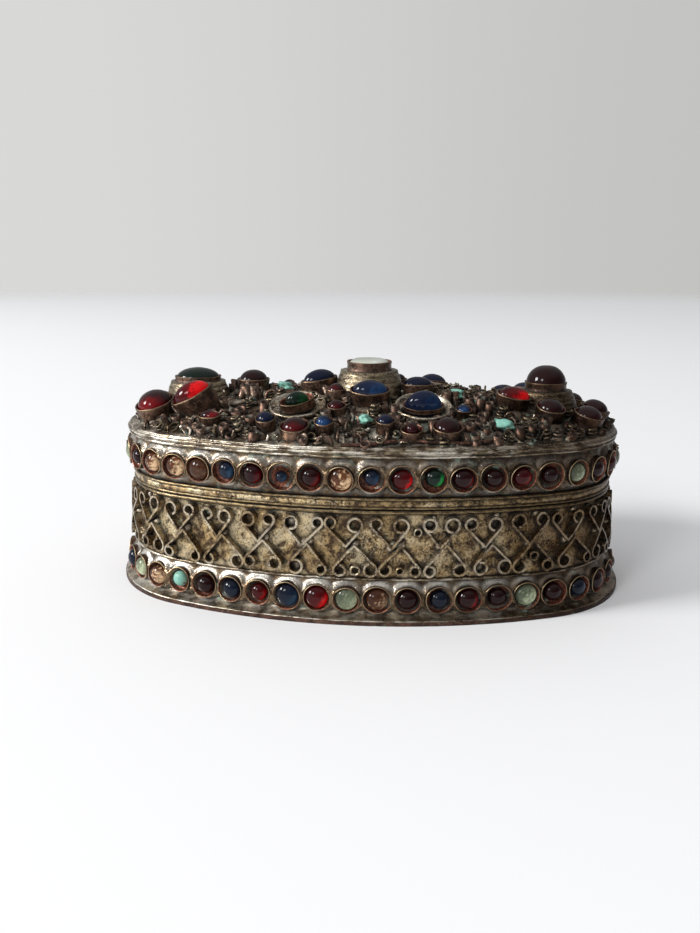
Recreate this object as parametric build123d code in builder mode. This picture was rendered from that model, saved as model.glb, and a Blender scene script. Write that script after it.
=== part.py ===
from build123d import *
import math
import os

os.makedirs("parts", exist_ok=True)

# Oval trinket box of soldered sheet and wire, in millimetres. The origin is the middle of the
# underside, +X runs along the box, -Y is the front and +Z is up. Every outline is the same oval of
# four tangent arcs, taken in from the edge of the base plate, so all the rings stay parallel.

# Base plate
base_length = 130.0
base_width = 73.4
side_bulge = 6.5
base_thickness = 0.9

# Body: the wall leans in from its foot to its rim
foot_ledge = 3.3
wall_lean = 1.7
wall_sheet = 0.7
body_height = 26.1
rim_wire_size = 1.0

# Inner collar, soldered inside the wall, which guides the lid
collar_sheet = 0.6
collar_rise = 3.0
collar_depth = 5.0
collar_clearance = 0.3

# Lid: a skirt with a flat band round its foot, a wire flange and a domed crown of sheet
lid_gap = 0.25
skirt_sheet = 0.7
band_sheet = 0.6
band_height = 2.4
flange_overhang = 1.8
flange_drop = 0.3
flange_height = 2.2
flange_taper = 12
crown_sheet = 0.8
crown_flat_radius = 4.0
crown_rise = 6.5

# Rows of round bezels with glass cabochons
bezel_radius = 3.2
bezel_depth = 2.0
bezel_sides = 8
cabochon_margin = 0.45
cabochon_height = 1.0
cabochon_taper = 52
foot_row_lift = 1.3
foot_row_gap = 0.48
foot_row_start = -2.8
skirt_row_lift = 1.55
skirt_row_drop = 1.85
skirt_row_gap = 0.33
skirt_row_start = 2.5

# The glass along each row, from the middle of the front to the right and round
glass = {
    "n": "garnet", "r": "red", "a": "amber", "b": "blue", "g": "green", "p": "pale", "t": "turquoise",
}
foot_order = "panbnnpnbnn" "rnabnrpnbgnranbnprbnnagrnb" "patnbrbr"
skirt_order = "brgnnrnpnrp" "nrbnangnbrnpnabnrgnnabrn" "pnaaabnbna"

# Filigree of bent strip, on edge, with a rolled curl at both ends
strip_thickness = 0.45
strip_depth = 1.7
strip_gap = 0.74
strip_start = -2.1
strip_top_gap = 0.3
strip_foot_gap = 2.5
leg_angle = 47
curl_side = 1.75
curl_turn = 72
curl_steps = 3

# Stepped collars along the middle of the crown: share of its half length, radius and height
collar_reach = 0.735
centre_collar_radius = 7.8
centre_collar_height = 7.4
end_collar_radius = 7.4
end_collar_height = 4.5
right_collar_radius = 6.3
right_collar_height = 4.5
collar_taper = 14
collar_sides = 8
collar_bezel_height = 2.2
collar_stone_margin = 0.5
white_stone_radius = 5.2
white_stone_height = 0.8
green_stone_length = 11.0
green_stone_height = 2.4
green_stone_share = 0.8
dome_stone_radius = 4.7
dome_stone_height = 4.1
dome_side_taper = 14

# Dished discs that carry oval stones
dish_height = 2.0
dish_taper = 38
dish_radius = 7.0
dish_sides = 8
oval_length = 8.6
oval_width = 5.6
oval_cup_height = 1.2
oval_stone_margin = 0.45
oval_stone_height = 1.5

# Cups on the crown
large_cup_radius = 3.5
large_cup_height = 3.6
small_cup_radius = 2.2
small_cup_height = 3.2
cup_stone_height = 1.3
cup_stone_margin = 0.4
cup_stone_taper = 45
small_cup_sides = 6
long_cup_height = 3.8
post_radius = 1.15
post_height = 3.4
cone_radius = 1.9
cone_height = 3.2
cone_taper = 22
post_sides = 6
chip_length = 3.6
chip_width = 2.2
chip_height = 2.6

base_half_length = base_length / 2
base_half_width = base_width / 2
base_end_radius = base_half_width - side_bulge
end_centre = base_half_length - base_end_radius
base_side_radius = (
    base_half_length**2 + base_half_width**2 - base_length * base_end_radius
) / (base_width - 2 * base_end_radius)
side_centre = base_side_radius - base_half_width
end_half = math.degrees(math.atan2(side_centre, end_centre))
side_half = 90 - end_half

# Each arc of the base plate's edge: centre, radius, first angle and turn
arcs = [
    ((0, side_centre), base_side_radius, 270 - side_half, 2 * side_half),
    ((end_centre, 0), base_end_radius, -end_half, 2 * end_half),
    ((0, -side_centre), base_side_radius, 90 - side_half, 2 * side_half),
    ((-end_centre, 0), base_end_radius, 180 - end_half, 2 * end_half),
]


def perimeter(inset):
    return sum(math.radians(turn) * (radius - inset) for _, radius, _, turn in arcs)


def edge_at(distance, inset):
    # point and outward angle at a distance along the oval from the middle of its front
    left = (distance + math.radians(side_half) * (base_side_radius - inset)) % perimeter(inset)
    for centre, radius, first, turn in arcs:
        length = math.radians(turn) * (radius - inset)
        if left <= length:
            break
        left -= length
    angle = first + turn * left / length
    out = math.radians(angle)
    reach = radius - inset
    return centre[0] + reach * math.cos(out), centre[1] + reach * math.sin(out), angle


def spread(pitch, start, inset):
    # points and angles evenly along the oval, as many as the pitch has room for
    count = round(perimeter(inset) / pitch)
    step = perimeter(inset) / count
    return [edge_at(start + index * step, inset) for index in range(count)]


def sides_of(pitch, start, inset):
    # the flat sides of a sheet wall, one behind each bezel: outward angle and distance from the
    # middle of the box of the line that touches the base plate's edge there
    sides = []
    for x, y, angle in spread(pitch, start, inset):
        out = math.radians(angle)
        sides.append((out, x * math.cos(out) + y * math.sin(out) + inset))
    return sides


def corners(sides, inset):
    points = []
    for (out, reach), (next_out, next_reach) in zip(sides, sides[1:] + sides[:1]):
        turn = math.sin(next_out - out)
        x = ((reach - inset) * math.sin(next_out) - (next_reach - inset) * math.sin(out)) / turn
        y = ((next_reach - inset) * math.cos(out) - (reach - inset) * math.cos(next_out)) / turn
        points.append((x, y))
    return points


def leaning_plane(x, y, z, angle, lean):
    # a plane whose normal points outward and is tipped up by the lean
    out = math.radians(angle)
    tip = math.radians(lean)
    return Plane(
        origin=(x, y, z),
        x_dir=(-math.sin(out), math.cos(out), 0),
        z_dir=(math.cos(out) * math.cos(tip), math.sin(out) * math.cos(tip), math.sin(tip)),
    )


def seats(spots, sides, inset, height, lean):
    # planes against a wall at points along it, each pushed out until it only touches the wall
    planes = []
    for x, y, angle in spots:
        out = math.radians(angle)
        reach = max(cx * math.cos(out) + cy * math.sin(out) for cx, cy in corners(sides, inset))
        push = reach - x * math.cos(out) - y * math.sin(out)
        planes.append(
            leaning_plane(x + push * math.cos(out), y + push * math.sin(out), height, angle, lean)
        )
    return planes


def block(sides, inset, foot, height, taper=0):
    # a solid oval with flat sides that lean in by the taper
    with BuildSketch(Plane.XY.offset(foot)) as outline:
        Polygon(*corners(sides, inset), align=None)
    extrude(outline.sketch, amount=height, taper=taper)


def hollow(sides, inset, foot, height, taper=0):
    with BuildSketch(Plane.XY.offset(foot)) as outline:
        Polygon(*corners(sides, inset), align=None)
    extrude(outline.sketch, amount=height, taper=taper, mode=Mode.SUBTRACT)


wall_slope = wall_lean / (body_height - base_thickness)
wall_angle = math.degrees(math.atan(wall_slope))


def wall_inset(height):
    return foot_ledge + (height - base_thickness) * wall_slope


foot_row_height = base_thickness + foot_row_lift + bezel_radius
foot_pitch = 2 * bezel_radius + foot_row_gap
foot_row_in = wall_inset(foot_row_height)
wall_sides = sides_of(foot_pitch, foot_row_start, foot_row_in)

with BuildPart() as base_plate:
    with BuildSketch():
        with BuildLine() as edge:
            for centre, radius, first, turn in arcs:
                CenterArc(centre, radius, first, turn)
        make_face()
    extrude(amount=base_thickness)

with BuildPart() as body_wall:
    wall_height = body_height - base_thickness
    block(wall_sides, foot_ledge, base_thickness, wall_height, wall_angle)
    hollow(wall_sides, foot_ledge + wall_sheet, base_thickness, wall_height, wall_angle)

with BuildPart() as rim_wire:
    wire_foot = body_height - rim_wire_size
    wire_in = wall_inset(wire_foot)
    block(wall_sides, wire_in - rim_wire_size, wire_foot, rim_wire_size, wall_angle)
    hollow(wall_sides, wire_in, wire_foot, rim_wire_size, wall_angle)

with BuildPart() as inner_collar:
    collar_foot = body_height - collar_depth
    collar_in = wall_inset(collar_foot) + wall_sheet
    collar_height = collar_depth + collar_rise
    block(wall_sides, collar_in, collar_foot, collar_height, wall_angle)
    hollow(wall_sides, collar_in + collar_sheet, collar_foot, collar_height, wall_angle)

# The lid stands on the rim with a narrow gap
rim_in = wall_inset(body_height)
lid_foot = body_height + lid_gap
skirt_in = rim_in + wall_sheet - collar_clearance
skirt_out = skirt_in - skirt_sheet
skirt_row_height = lid_foot + band_height + skirt_row_lift + bezel_radius
skirt_pitch = 2 * bezel_radius + skirt_row_gap
lid_sides = sides_of(skirt_pitch, skirt_row_start, skirt_out)
skirt_top = skirt_row_height + bezel_radius + skirt_row_drop
crease_in = base_end_radius - crown_flat_radius
crown_slope = crown_rise / (crease_in - skirt_out)
crown_angle = math.degrees(math.atan(crown_slope))
crown_edge = skirt_top + crown_sheet
crown_top = crown_edge + crown_rise

# The space below the outside of the crown, which everything on the lid is cut to
with BuildPart() as crown_form:
    block(lid_sides, skirt_out, skirt_top, crown_sheet)
    block(lid_sides, skirt_out, crown_edge, crown_rise, 90 - crown_angle)

with BuildPart() as lid_crown:
    add(crown_form.part)
    hollow(lid_sides, skirt_out, skirt_top, crown_rise, 90 - crown_angle)

with BuildPart() as lid_skirt:
    block(lid_sides, skirt_out, lid_foot, skirt_top - lid_foot)
    hollow(lid_sides, skirt_in, lid_foot, skirt_top - lid_foot)

with BuildPart() as lid_band:
    block(lid_sides, skirt_out - band_sheet, lid_foot, band_height)
    hollow(lid_sides, skirt_out, lid_foot, band_height)

with BuildPart() as lid_flange:
    flange_foot = skirt_top - flange_drop
    block(lid_sides, skirt_out - flange_overhang, flange_foot, flange_height, flange_taper)
    hollow(lid_sides, skirt_out, flange_foot, flange_height)


def settings(planes):
    with BuildSketch(*planes) as rims:
        RegularPolygon(bezel_radius, bezel_sides)
    extrude(rims.sketch, amount=bezel_depth)


# Two rows of V strips fill the wall from the foot bezels to the rim wire, apex to apex
strips_foot = foot_row_height + bezel_radius + strip_foot_gap
strips_top = body_height - rim_wire_size - strip_top_gap
apex_height = (strips_foot + strips_top) / 2
apex_rise = strip_thickness / 2 / math.cos(math.radians(leg_angle))
curl_mitre = strip_thickness / 2 / math.cos(math.radians(curl_turn / 2))
curl_across = math.radians(leg_angle + 1.5 * curl_turn - 90)
curl_rise = curl_side * math.sin(math.radians(leg_angle + curl_turn)) + curl_mitre * math.sin(curl_across)
leg_length = (strips_top - apex_height - apex_rise - curl_rise) / math.sin(math.radians(leg_angle))
strip_reach = leg_length * math.cos(math.radians(leg_angle)) + curl_mitre


def strip(side):
    # one V of strip on edge, opening up for side 1 and down for side -1
    headings = [-leg_angle, leg_angle]
    for _ in range(curl_steps):
        headings.append(headings[-1] + curl_turn)
    headings.append(headings[-1])
    lengths = [leg_length] + [curl_side] * curl_steps + [0]
    x, y = 0, apex_rise
    inner, outer = [], []
    for before, after, length in zip(headings, headings[1:], lengths):
        across = math.radians((before + after) / 2 + 90)
        mitre = strip_thickness / 2 / math.cos(math.radians((after - before) / 2))
        inner.append((x + mitre * math.cos(across), side * (y + mitre * math.sin(across))))
        outer.append((x - mitre * math.cos(across), side * (y - mitre * math.sin(across))))
        x += length * math.cos(math.radians(after))
        y += length * math.sin(math.radians(after))
    with BuildLine() as edge:
        Polyline(*outer, *reversed(inner))
        mirror(about=Plane.YZ)
    make_face(edge.edges())


foot_spots = spread(foot_pitch, foot_row_start, foot_row_in)
skirt_spots = spread(skirt_pitch, skirt_row_start, skirt_out)
strip_spots = spread(2 * strip_reach + strip_gap, strip_start, wall_inset(apex_height))
foot_planes = seats(foot_spots, wall_sides, foot_row_in, foot_row_height, wall_angle)
skirt_planes = seats(skirt_spots, lid_sides, skirt_out, skirt_row_height, 0)
strip_planes = seats(strip_spots, wall_sides, wall_inset(apex_height), apex_height, wall_angle)

with BuildPart() as cabochon:
    with BuildSketch(Plane.XY.offset(bezel_depth)):
        RegularPolygon(bezel_radius - cabochon_margin, bezel_sides)
    extrude(amount=cabochon_height, taper=cabochon_taper)

with BuildPart() as foot_bezels:
    settings(foot_planes)

with BuildPart() as lid_bezels:
    settings(skirt_planes)

with BuildPart() as upper_scrolls:
    with BuildSketch(*strip_planes):
        strip(1)
    extrude(amount=strip_depth)

with BuildPart() as lower_scrolls:
    with BuildSketch(*strip_planes):
        strip(-1)
    extrude(amount=strip_depth)


def crown_plane(along, across):
    # plane on the crown at shares of its half length and half width, facing away from it
    x = along * (base_half_length - skirt_out)
    y = across * (base_half_width - skirt_out)
    inset, out = min((reach - x * math.cos(out) - y * math.sin(out), out) for out, reach in lid_sides)
    if inset >= crease_in:
        return leaning_plane(x, y, crown_top, math.degrees(out), 90)
    height = crown_edge + (inset - skirt_out) * crown_slope
    return leaning_plane(x, y, height, math.degrees(out), 90 - crown_angle)


def both_ways(spots):
    # the front half of the lid, then the same turned round to the back
    return [crown_plane(*spot) for spot in spots] + [crown_plane(-along, -across) for along, across in spots]


def oval_polygon(length, width, sides):
    turns = [360 * corner / sides for corner in range(sides)]
    Polygon(*[
        (length / 2 * math.cos(math.radians(turn)), width / 2 * math.sin(math.radians(turn)))
        for turn in turns
    ])


def lifted(planes, height):
    return [plane.offset(height) for plane in planes]


def cups(planes, radius, height, sides):
    with BuildSketch(*planes) as feet:
        RegularPolygon(radius, sides)
    extrude(feet.sketch, amount=height)


def cup_stones(planes, radius, height, sides):
    with BuildSketch(*lifted(planes, height)) as girdles:
        RegularPolygon(radius - cup_stone_margin, sides)
    extrude(girdles.sketch, amount=cup_stone_height, taper=cup_stone_taper)


# Where things stand, as shares of the crown's half length and half width
large_spots = [
    (-0.862, -0.274), (-0.25, -0.84), (0.312, -0.806), (0.716, -0.371), (0.863, -0.339), (0.91, -0.11),
]
small_spots = [
    (-0.368, -0.739), (-0.141, -0.815), (-0.11, -0.529), (-0.125, -0.3), (0.085, -0.788), (0.183, -0.849),
    (0.38, -0.485),
]
long_spots = [(-0.675, -0.33), (-0.6, -0.62), (-0.205, 0.06), (0.014, -0.341)]
post_spots = [(-0.53, -0.78), (-0.62, -0.77), (0.42, -0.86), (0.5, -0.84)]
cone_spots = [(-0.44, -0.78), (0.456, -0.69), (0.73, -0.66), (-0.36, -0.19)]
chip_spots = [(0.001, -0.666), (0.368, -0.128), (0.534, -0.619)]
dish_spots = [(-0.269, -0.441), (0.226, -0.445)]

# The two that have no twin at the back
lone_round_spot = (-0.51, 0.14)
lone_long_spot = (0.575, -0.25)

centre_plane = crown_plane(0, 0)
left_plane = crown_plane(-collar_reach, 0)
right_plane = crown_plane(collar_reach, 0)
dish_planes = both_ways(dish_spots)
large_planes = both_ways(large_spots) + [crown_plane(*lone_round_spot)]
small_planes = both_ways(small_spots)
long_planes = both_ways(long_spots) + [crown_plane(*lone_long_spot)]
chip_planes = both_ways(chip_spots)


def upright(plane, rise):
    return Plane(origin=(plane.origin.X, plane.origin.Y, plane.origin.Z + rise))


collars = [
    (centre_plane, centre_collar_radius, centre_collar_height, white_stone_radius),
    (left_plane, end_collar_radius, end_collar_height, green_stone_length / 2),
    (right_plane, right_collar_radius, right_collar_height, dome_stone_radius),
]
with BuildPart() as lid_collars:
    for plane, radius, height, _ in collars:
        with BuildSketch(Plane(origin=(plane.origin.X, plane.origin.Y, crown_edge))):
            RegularPolygon(radius, collar_sides)
        extrude(amount=plane.origin.Z - crown_edge + height / 2)
        with BuildSketch(upright(plane, height / 2)):
            RegularPolygon(radius, collar_sides)
        extrude(amount=height / 2, taper=collar_taper)
    add(crown_form.part, mode=Mode.SUBTRACT)

with BuildPart() as collar_bezels:
    for plane, _, height, stone_radius in collars:
        with BuildSketch(upright(plane, height)):
            RegularPolygon(stone_radius + collar_stone_margin, collar_sides)
        extrude(amount=collar_bezel_height)

with BuildPart() as white_stone:
    with BuildSketch(upright(centre_plane, centre_collar_height + collar_bezel_height)):
        RegularPolygon(white_stone_radius, collar_sides)
    extrude(amount=white_stone_height, taper=cabochon_taper)

with BuildPart() as green_stone:
    with BuildSketch(upright(left_plane, end_collar_height + collar_bezel_height)):
        oval_polygon(green_stone_length, green_stone_length * green_stone_share, collar_sides)
    extrude(amount=green_stone_height, taper=cabochon_taper)

with BuildPart() as dome_stone:
    with BuildSketch(upright(right_plane, right_collar_height + collar_bezel_height)):
        RegularPolygon(dome_stone_radius, collar_sides)
    extrude(amount=dome_stone_height / 2, taper=dome_side_taper)
    extrude(faces().sort_by(Axis.Z)[-1], amount=dome_stone_height / 2, taper=cabochon_taper)

# A disc drawn from its rim down, then turned over onto the crown
with BuildPart() as dish:
    with BuildSketch():
        RegularPolygon(dish_radius, dish_sides)
    extrude(amount=dish_height, taper=dish_taper)

with BuildPart() as lid_dishes:
    with Locations(*[-plane for plane in lifted(dish_planes, dish_height)]):
        add(dish.part)

with BuildPart() as dish_cups:
    with BuildSketch(*lifted(dish_planes, dish_height)) as rims:
        oval_polygon(oval_length, oval_width, bezel_sides)
    extrude(rims.sketch, amount=oval_cup_height)

with BuildPart() as dish_stones:
    with BuildSketch(*lifted(dish_planes, dish_height + oval_cup_height)) as rims:
        oval_polygon(oval_length - 2 * oval_stone_margin, oval_width - 2 * oval_stone_margin, bezel_sides)
    extrude(rims.sketch, amount=oval_stone_height, taper=cabochon_taper)

with BuildPart() as large_cups:
    cups(large_planes, large_cup_radius, large_cup_height, bezel_sides)

with BuildPart() as small_cups:
    cups(small_planes, small_cup_radius, small_cup_height, small_cup_sides)

with BuildPart() as long_cups:
    with BuildSketch(*long_planes) as rims:
        oval_polygon(oval_length, oval_width, bezel_sides)
    extrude(rims.sketch, amount=long_cup_height)

with BuildPart() as large_stones:
    cup_stones(large_planes, large_cup_radius, large_cup_height, bezel_sides)

with BuildPart() as small_stones:
    cup_stones(small_planes, small_cup_radius, small_cup_height, small_cup_sides)

with BuildPart() as long_stones:
    with BuildSketch(*lifted(long_planes, long_cup_height)) as rims:
        oval_polygon(oval_length - 2 * oval_stone_margin, oval_width - 2 * oval_stone_margin, bezel_sides)
    extrude(rims.sketch, amount=oval_stone_height, taper=cabochon_taper)

with BuildPart() as lid_posts:
    with BuildSketch(*both_ways(post_spots)) as feet:
        RegularPolygon(post_radius, post_sides)
    extrude(feet.sketch, amount=post_height)

with BuildPart() as lid_cones:
    with BuildSketch(*both_ways(cone_spots)) as feet:
        RegularPolygon(cone_radius, post_sides)
    extrude(feet.sketch, amount=cone_height, taper=cone_taper)

with BuildPart() as lid_chips:
    with BuildSketch(*chip_planes) as feet:
        Rectangle(chip_length, chip_width)
    extrude(feet.sketch, amount=chip_height)

pieces = {
    "base_plate": base_plate,
    "body_wall": body_wall,
    "rim_wire": rim_wire,
    "inner_collar": inner_collar,
    "foot_bezels": foot_bezels,
    "upper_scrolls": upper_scrolls,
    "lower_scrolls": lower_scrolls,
    "lid_skirt": lid_skirt,
    "lid_band": lid_band,
    "lid_flange": lid_flange,
    "lid_crown": lid_crown,
    "lid_bezels": lid_bezels,
    "lid_collars": lid_collars,
    "collar_bezels": collar_bezels,
    "white_stone": white_stone,
    "green_stone": green_stone,
    "dome_stone": dome_stone,
    "lid_dishes": lid_dishes,
    "dish_cups": dish_cups,
    "dish_stones": dish_stones,
    "large_cups": large_cups,
    "small_cups": small_cups,
    "long_cups": long_cups,
    "large_stones": large_stones,
    "small_stones": small_stones,
    "long_stones": long_stones,
    "lid_posts": lid_posts,
    "lid_cones": lid_cones,
    "lid_chips": lid_chips,
}
for row, planes, order in [("foot", foot_planes, foot_order), ("lid", skirt_planes, skirt_order)]:
    for letter, colour in glass.items():
        chosen = [plane for index, plane in enumerate(planes) if order[index % len(order)] == letter]
        if chosen:
            with BuildPart() as row_stones:
                with Locations(*chosen):
                    add(cabochon.part)
            pieces[f"{row}_stones_{colour}"] = row_stones

for name, piece in pieces.items():
    piece.part.label = name
    export_step(piece.part, f"parts/{name}.step")
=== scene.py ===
import math
import random

import bmesh
import bpy
from mathutils import Matrix, Vector, noise


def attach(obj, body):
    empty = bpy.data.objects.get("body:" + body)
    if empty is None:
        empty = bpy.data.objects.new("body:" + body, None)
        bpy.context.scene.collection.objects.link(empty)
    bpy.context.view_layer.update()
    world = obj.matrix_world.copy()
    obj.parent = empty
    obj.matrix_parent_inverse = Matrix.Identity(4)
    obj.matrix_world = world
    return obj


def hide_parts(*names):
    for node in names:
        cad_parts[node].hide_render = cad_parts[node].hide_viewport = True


# Oval filigree trinket box, dressed over its CAD frame. Sizes here are in millimetres and turn
# into metres when a mesh is made. The lid rides on its own body and everything else on the base.
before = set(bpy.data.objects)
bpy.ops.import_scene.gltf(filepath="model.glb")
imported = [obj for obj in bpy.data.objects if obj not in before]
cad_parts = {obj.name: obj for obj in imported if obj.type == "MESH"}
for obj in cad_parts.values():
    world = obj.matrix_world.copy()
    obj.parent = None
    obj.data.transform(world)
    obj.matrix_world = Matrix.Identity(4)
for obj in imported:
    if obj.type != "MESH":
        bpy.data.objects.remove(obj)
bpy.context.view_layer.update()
bpy.context.scene.view_settings.view_transform = "Standard"
mm = 0.001
alongX, alongZ, unturned = Vector((1, 0, 0)), Vector((0, 0, 1)), Matrix.Identity(3)
trees = []  # nodes go into the last one
helpers = []  # objects that the trees read, removed at the end


# Small tools

class Term:
    # a node's output, which is added and multiplied as a number is

    def __init__(self, socket):
        self.socket = socket

    def __add__(self, other):
        return calc("ADD", self, other)

    def __sub__(self, other):
        return calc("SUBTRACT", self, other)

    def __rsub__(self, other):
        return calc("SUBTRACT", other, self)

    def __mul__(self, other):
        return calc("MULTIPLY", self, other)


def feed(made, inputs):
    # links or sets a node's inputs; a colour is given without its alpha
    for key, value in dict(inputs).items():
        slot = made.inputs[key]
        if isinstance(value, Term):
            trees[-1].links.new(value.socket, slot)
        else:
            slot.default_value = (*value, 1) if slot.type == "RGBA" else value
    return made


def node(kind, inputs=(), **settings):
    made = trees[-1].nodes.new(kind)
    for key, value in settings.items():
        setattr(made, key, value)
    return feed(made, inputs)


def put(kind, inputs=(), output=0, **settings):
    return Term(node(kind, inputs, **settings).outputs[output])


def calc(operation, *values):
    return put("ShaderNodeMath", enumerate(values), operation=operation)


def vector(operation, *values):
    keys = (0, "Scale") if operation == "SCALE" else (0, 1)
    return put("ShaderNodeVectorMath", zip(keys, values), operation=operation)


def blend(factor, first, second, kind="RGBA", mode="MIX"):
    keys, output = {"RGBA": ((0, 6, 7), 2), "FLOAT": ((0, 2, 3), 0)}[kind]
    return put("ShaderNodeMix", zip(keys, (factor, first, second)), output, data_type=kind, blend_type=mode)


def partsOf(value):
    return [Term(output) for output in node("ShaderNodeSeparateXYZ", {0: value}).outputs]


def stand(name, data):
    made = bpy.data.objects.new(name, data)
    bpy.context.scene.collection.objects.link(made)
    return made


def helper(made):
    helpers.append(made)
    return made


def circle(count):
    return [(math.cos(2 * math.pi * i / count), math.sin(2 * math.pi * i / count)) for i in range(count)]


def meshObject(name, points, faces=(), edges=()):
    mesh = bpy.data.meshes.new(name)
    mesh.from_pydata([Vector(point) * mm for point in points], edges, faces)
    for face in mesh.polygons:
        face.use_smooth = True
    return stand(name, mesh)


def gridFaces(rows, columns, gap):
    # a grid that closes both ways, without the strip that follows row gap
    faces = []
    for row in range(rows):
        if row != gap:
            low, high = row * columns, (row + 1) % rows * columns
            pairs = [(i, (i + 1) % columns) for i in range(columns)]
            faces += [(low + i, low + after, high + after, high + i) for i, after in pairs]
    return faces


def loopCurve(name, points):
    curve = bpy.data.curves.new(name, "CURVE")
    curve.dimensions = "3D"
    spline = curve.splines.new("POLY")
    spline.points.add(len(points) - 1)
    for slot, point in zip(spline.points, points):
        slot.co = (*(Vector(point) * mm), 1)
    spline.use_cyclic_u = True
    return helper(stand(name, curve))


socketKinds = {"Path": "Object", "Section": "Object", "Unit": "Object", "Feet": "Object", "Seed": "Int",
               "Sides": "Int", "Material": "Material"}


def newTree(name, *labels):
    tree = bpy.data.node_groups.new(name, "GeometryNodeTree")
    tree.interface.new_socket("Geometry", in_out="INPUT", socket_type="NodeSocketGeometry")
    for label in labels:
        kind = "NodeSocket" + socketKinds.get(label, "Float")
        tree.interface.new_socket(label, in_out="INPUT", socket_type=kind)
    tree.interface.new_socket("Geometry", in_out="OUTPUT", socket_type="NodeSocketGeometry")
    trees.append(tree)
    return {output.name: Term(output) for output in node("NodeGroupInput").outputs}


def endTree(geometry, material, smooth=True, crease=None):
    if smooth:
        geometry = put("GeometryNodeSetShadeSmooth", {0: geometry, "Shade Smooth": True})
    if crease:
        folded = put("FunctionNodeCompare", {0: put("GeometryNodeInputMeshEdgeAngle"), 1: crease},
                     data_type="FLOAT", operation="GREATER_THAN")
        sharp = {0: geometry, 1: folded, "Shade Smooth": False}
        geometry = put("GeometryNodeSetShadeSmooth", sharp, domain="EDGE")
    geometry = put("GeometryNodeRealizeInstances", {0: geometry})
    node("NodeGroupOutput", {0: put("GeometryNodeSetMaterial", {0: geometry, "Material": material})})
    return trees[-1]


def grown(name, source, tree, values):
    # runs a tree on a source mesh and keeps what comes out as a plain mesh
    modifier = source.modifiers.new("shape", "NODES")
    modifier.node_group = tree
    for item in tree.interface.items_tree:
        if item.in_out == "INPUT" and item.name in values:
            modifier[item.identifier] = values[item.name]
    bpy.context.view_layer.update()
    graph = bpy.context.evaluated_depsgraph_get()
    mesh = bpy.data.meshes.new_from_object(source.evaluated_get(graph), depsgraph=graph)
    bpy.data.objects.remove(source)
    mesh.name = name
    shell = bmesh.new()
    shell.from_mesh(mesh)
    bmesh.ops.remove_doubles(shell, verts=shell.verts, dist=1e-7)
    bmesh.ops.recalc_face_normals(shell, faces=shell.faces)
    shell.to_mesh(mesh)
    shell.free()
    return stand(name, mesh)


def joined(name, parts):
    shell = bmesh.new()
    for part in parts:
        shell.from_mesh(part.data)
    mesh = bpy.data.meshes.new(name)
    shell.to_mesh(mesh)
    shell.free()
    mesh.materials.append(parts[0].data.materials[0])
    for part in parts:
        bpy.data.objects.remove(part)
    return stand(name, mesh)


def settle(piece, body, slot, *nodes):
    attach(piece, body)
    if nodes:
        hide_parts(*nodes)
    print("made", piece.name, len(piece.data.polygons))


# The oval that every ring follows

boxPlan = {"halfLength": 65.0, "halfWidth": 36.7, "endRadius": 30.2, "steps": 420}
wallPlan = {"foot": 0.9, "rise": 25.2, "inset": 3.3, "lean": 1.7, "sheet": 0.7}
lidPlan = {"skirtIn": 4.7, "eaves": 39.35, "crease": 26.2, "rise": 6.5, "sheet": 0.75}
endCentre = boxPlan["halfLength"] - boxPlan["endRadius"]
sideRadius = (boxPlan["halfLength"] ** 2 + boxPlan["halfWidth"] ** 2
              - 2 * boxPlan["halfLength"] * boxPlan["endRadius"]) / (
                  2 * (boxPlan["halfWidth"] - boxPlan["endRadius"]))
sideCentre = sideRadius - boxPlan["halfWidth"]
endHalf = math.atan2(sideCentre, endCentre)
sideHalf = math.pi / 2 - endHalf
ovalArcs = [
    # centre, radius, first angle and turn
    ((0, sideCentre), sideRadius, -math.pi / 2 - sideHalf, 2 * sideHalf),
    ((endCentre, 0), boxPlan["endRadius"], -endHalf, 2 * endHalf),
    ((0, -sideCentre), sideRadius, math.pi / 2 - sideHalf, 2 * sideHalf),
    ((-endCentre, 0), boxPlan["endRadius"], math.pi - endHalf, 2 * endHalf),
]


def roundLength(inset):
    return sum(turn * (radius - inset) for _, radius, _, turn in ovalArcs)


def alongOval(distance, inset):
    # a point and its outward angle, measured from the middle of the front
    left = (distance + sideHalf * (sideRadius - inset)) % roundLength(inset)
    for centre, radius, first, turn in ovalArcs:
        if left <= turn * (radius - inset):
            break
        left -= turn * (radius - inset)
    angle = first + left / (radius - inset)
    return centre[0] + (radius - inset) * math.cos(angle), centre[1] + (radius - inset) * math.sin(angle), angle


def ovalCurve(name, inset):
    count = boxPlan["steps"]
    return loopCurve(name, [(*alongOval(i * roundLength(inset) / count, inset)[:2], 0) for i in range(count)])


def atEnd(x, y):
    return abs(math.atan2(y, abs(x) - endCentre)) <= endHalf


def insetOf(x, y):
    if atEnd(x, y):
        return boxPlan["endRadius"] - math.hypot(abs(x) - endCentre, y)
    return sideRadius - math.hypot(x, abs(y) + sideCentre)


def wallInset(height):
    return wallPlan["inset"] + (height - wallPlan["foot"]) * wallPlan["lean"] / wallPlan["rise"]


def crownHeight(x, y):
    share = (insetOf(x, y) - lidPlan["skirtIn"]) / (lidPlan["crease"] - lidPlan["skirtIn"])
    return lidPlan["eaves"] + lidPlan["rise"] * min(max(share, -0.1), 1)


def crownAxis(x, y):
    # the crown's outward direction
    if atEnd(x, y):
        away = Vector((x - math.copysign(endCentre, x), y, 0))
    else:
        away = Vector((x, y + math.copysign(sideCentre, y), 0))
    if insetOf(x, y) >= lidPlan["crease"] or not away.length:
        return alongZ
    slope = lidPlan["rise"] / (lidPlan["crease"] - lidPlan["skirtIn"])
    return (away.normalized() * slope + alongZ).normalized()


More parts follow.
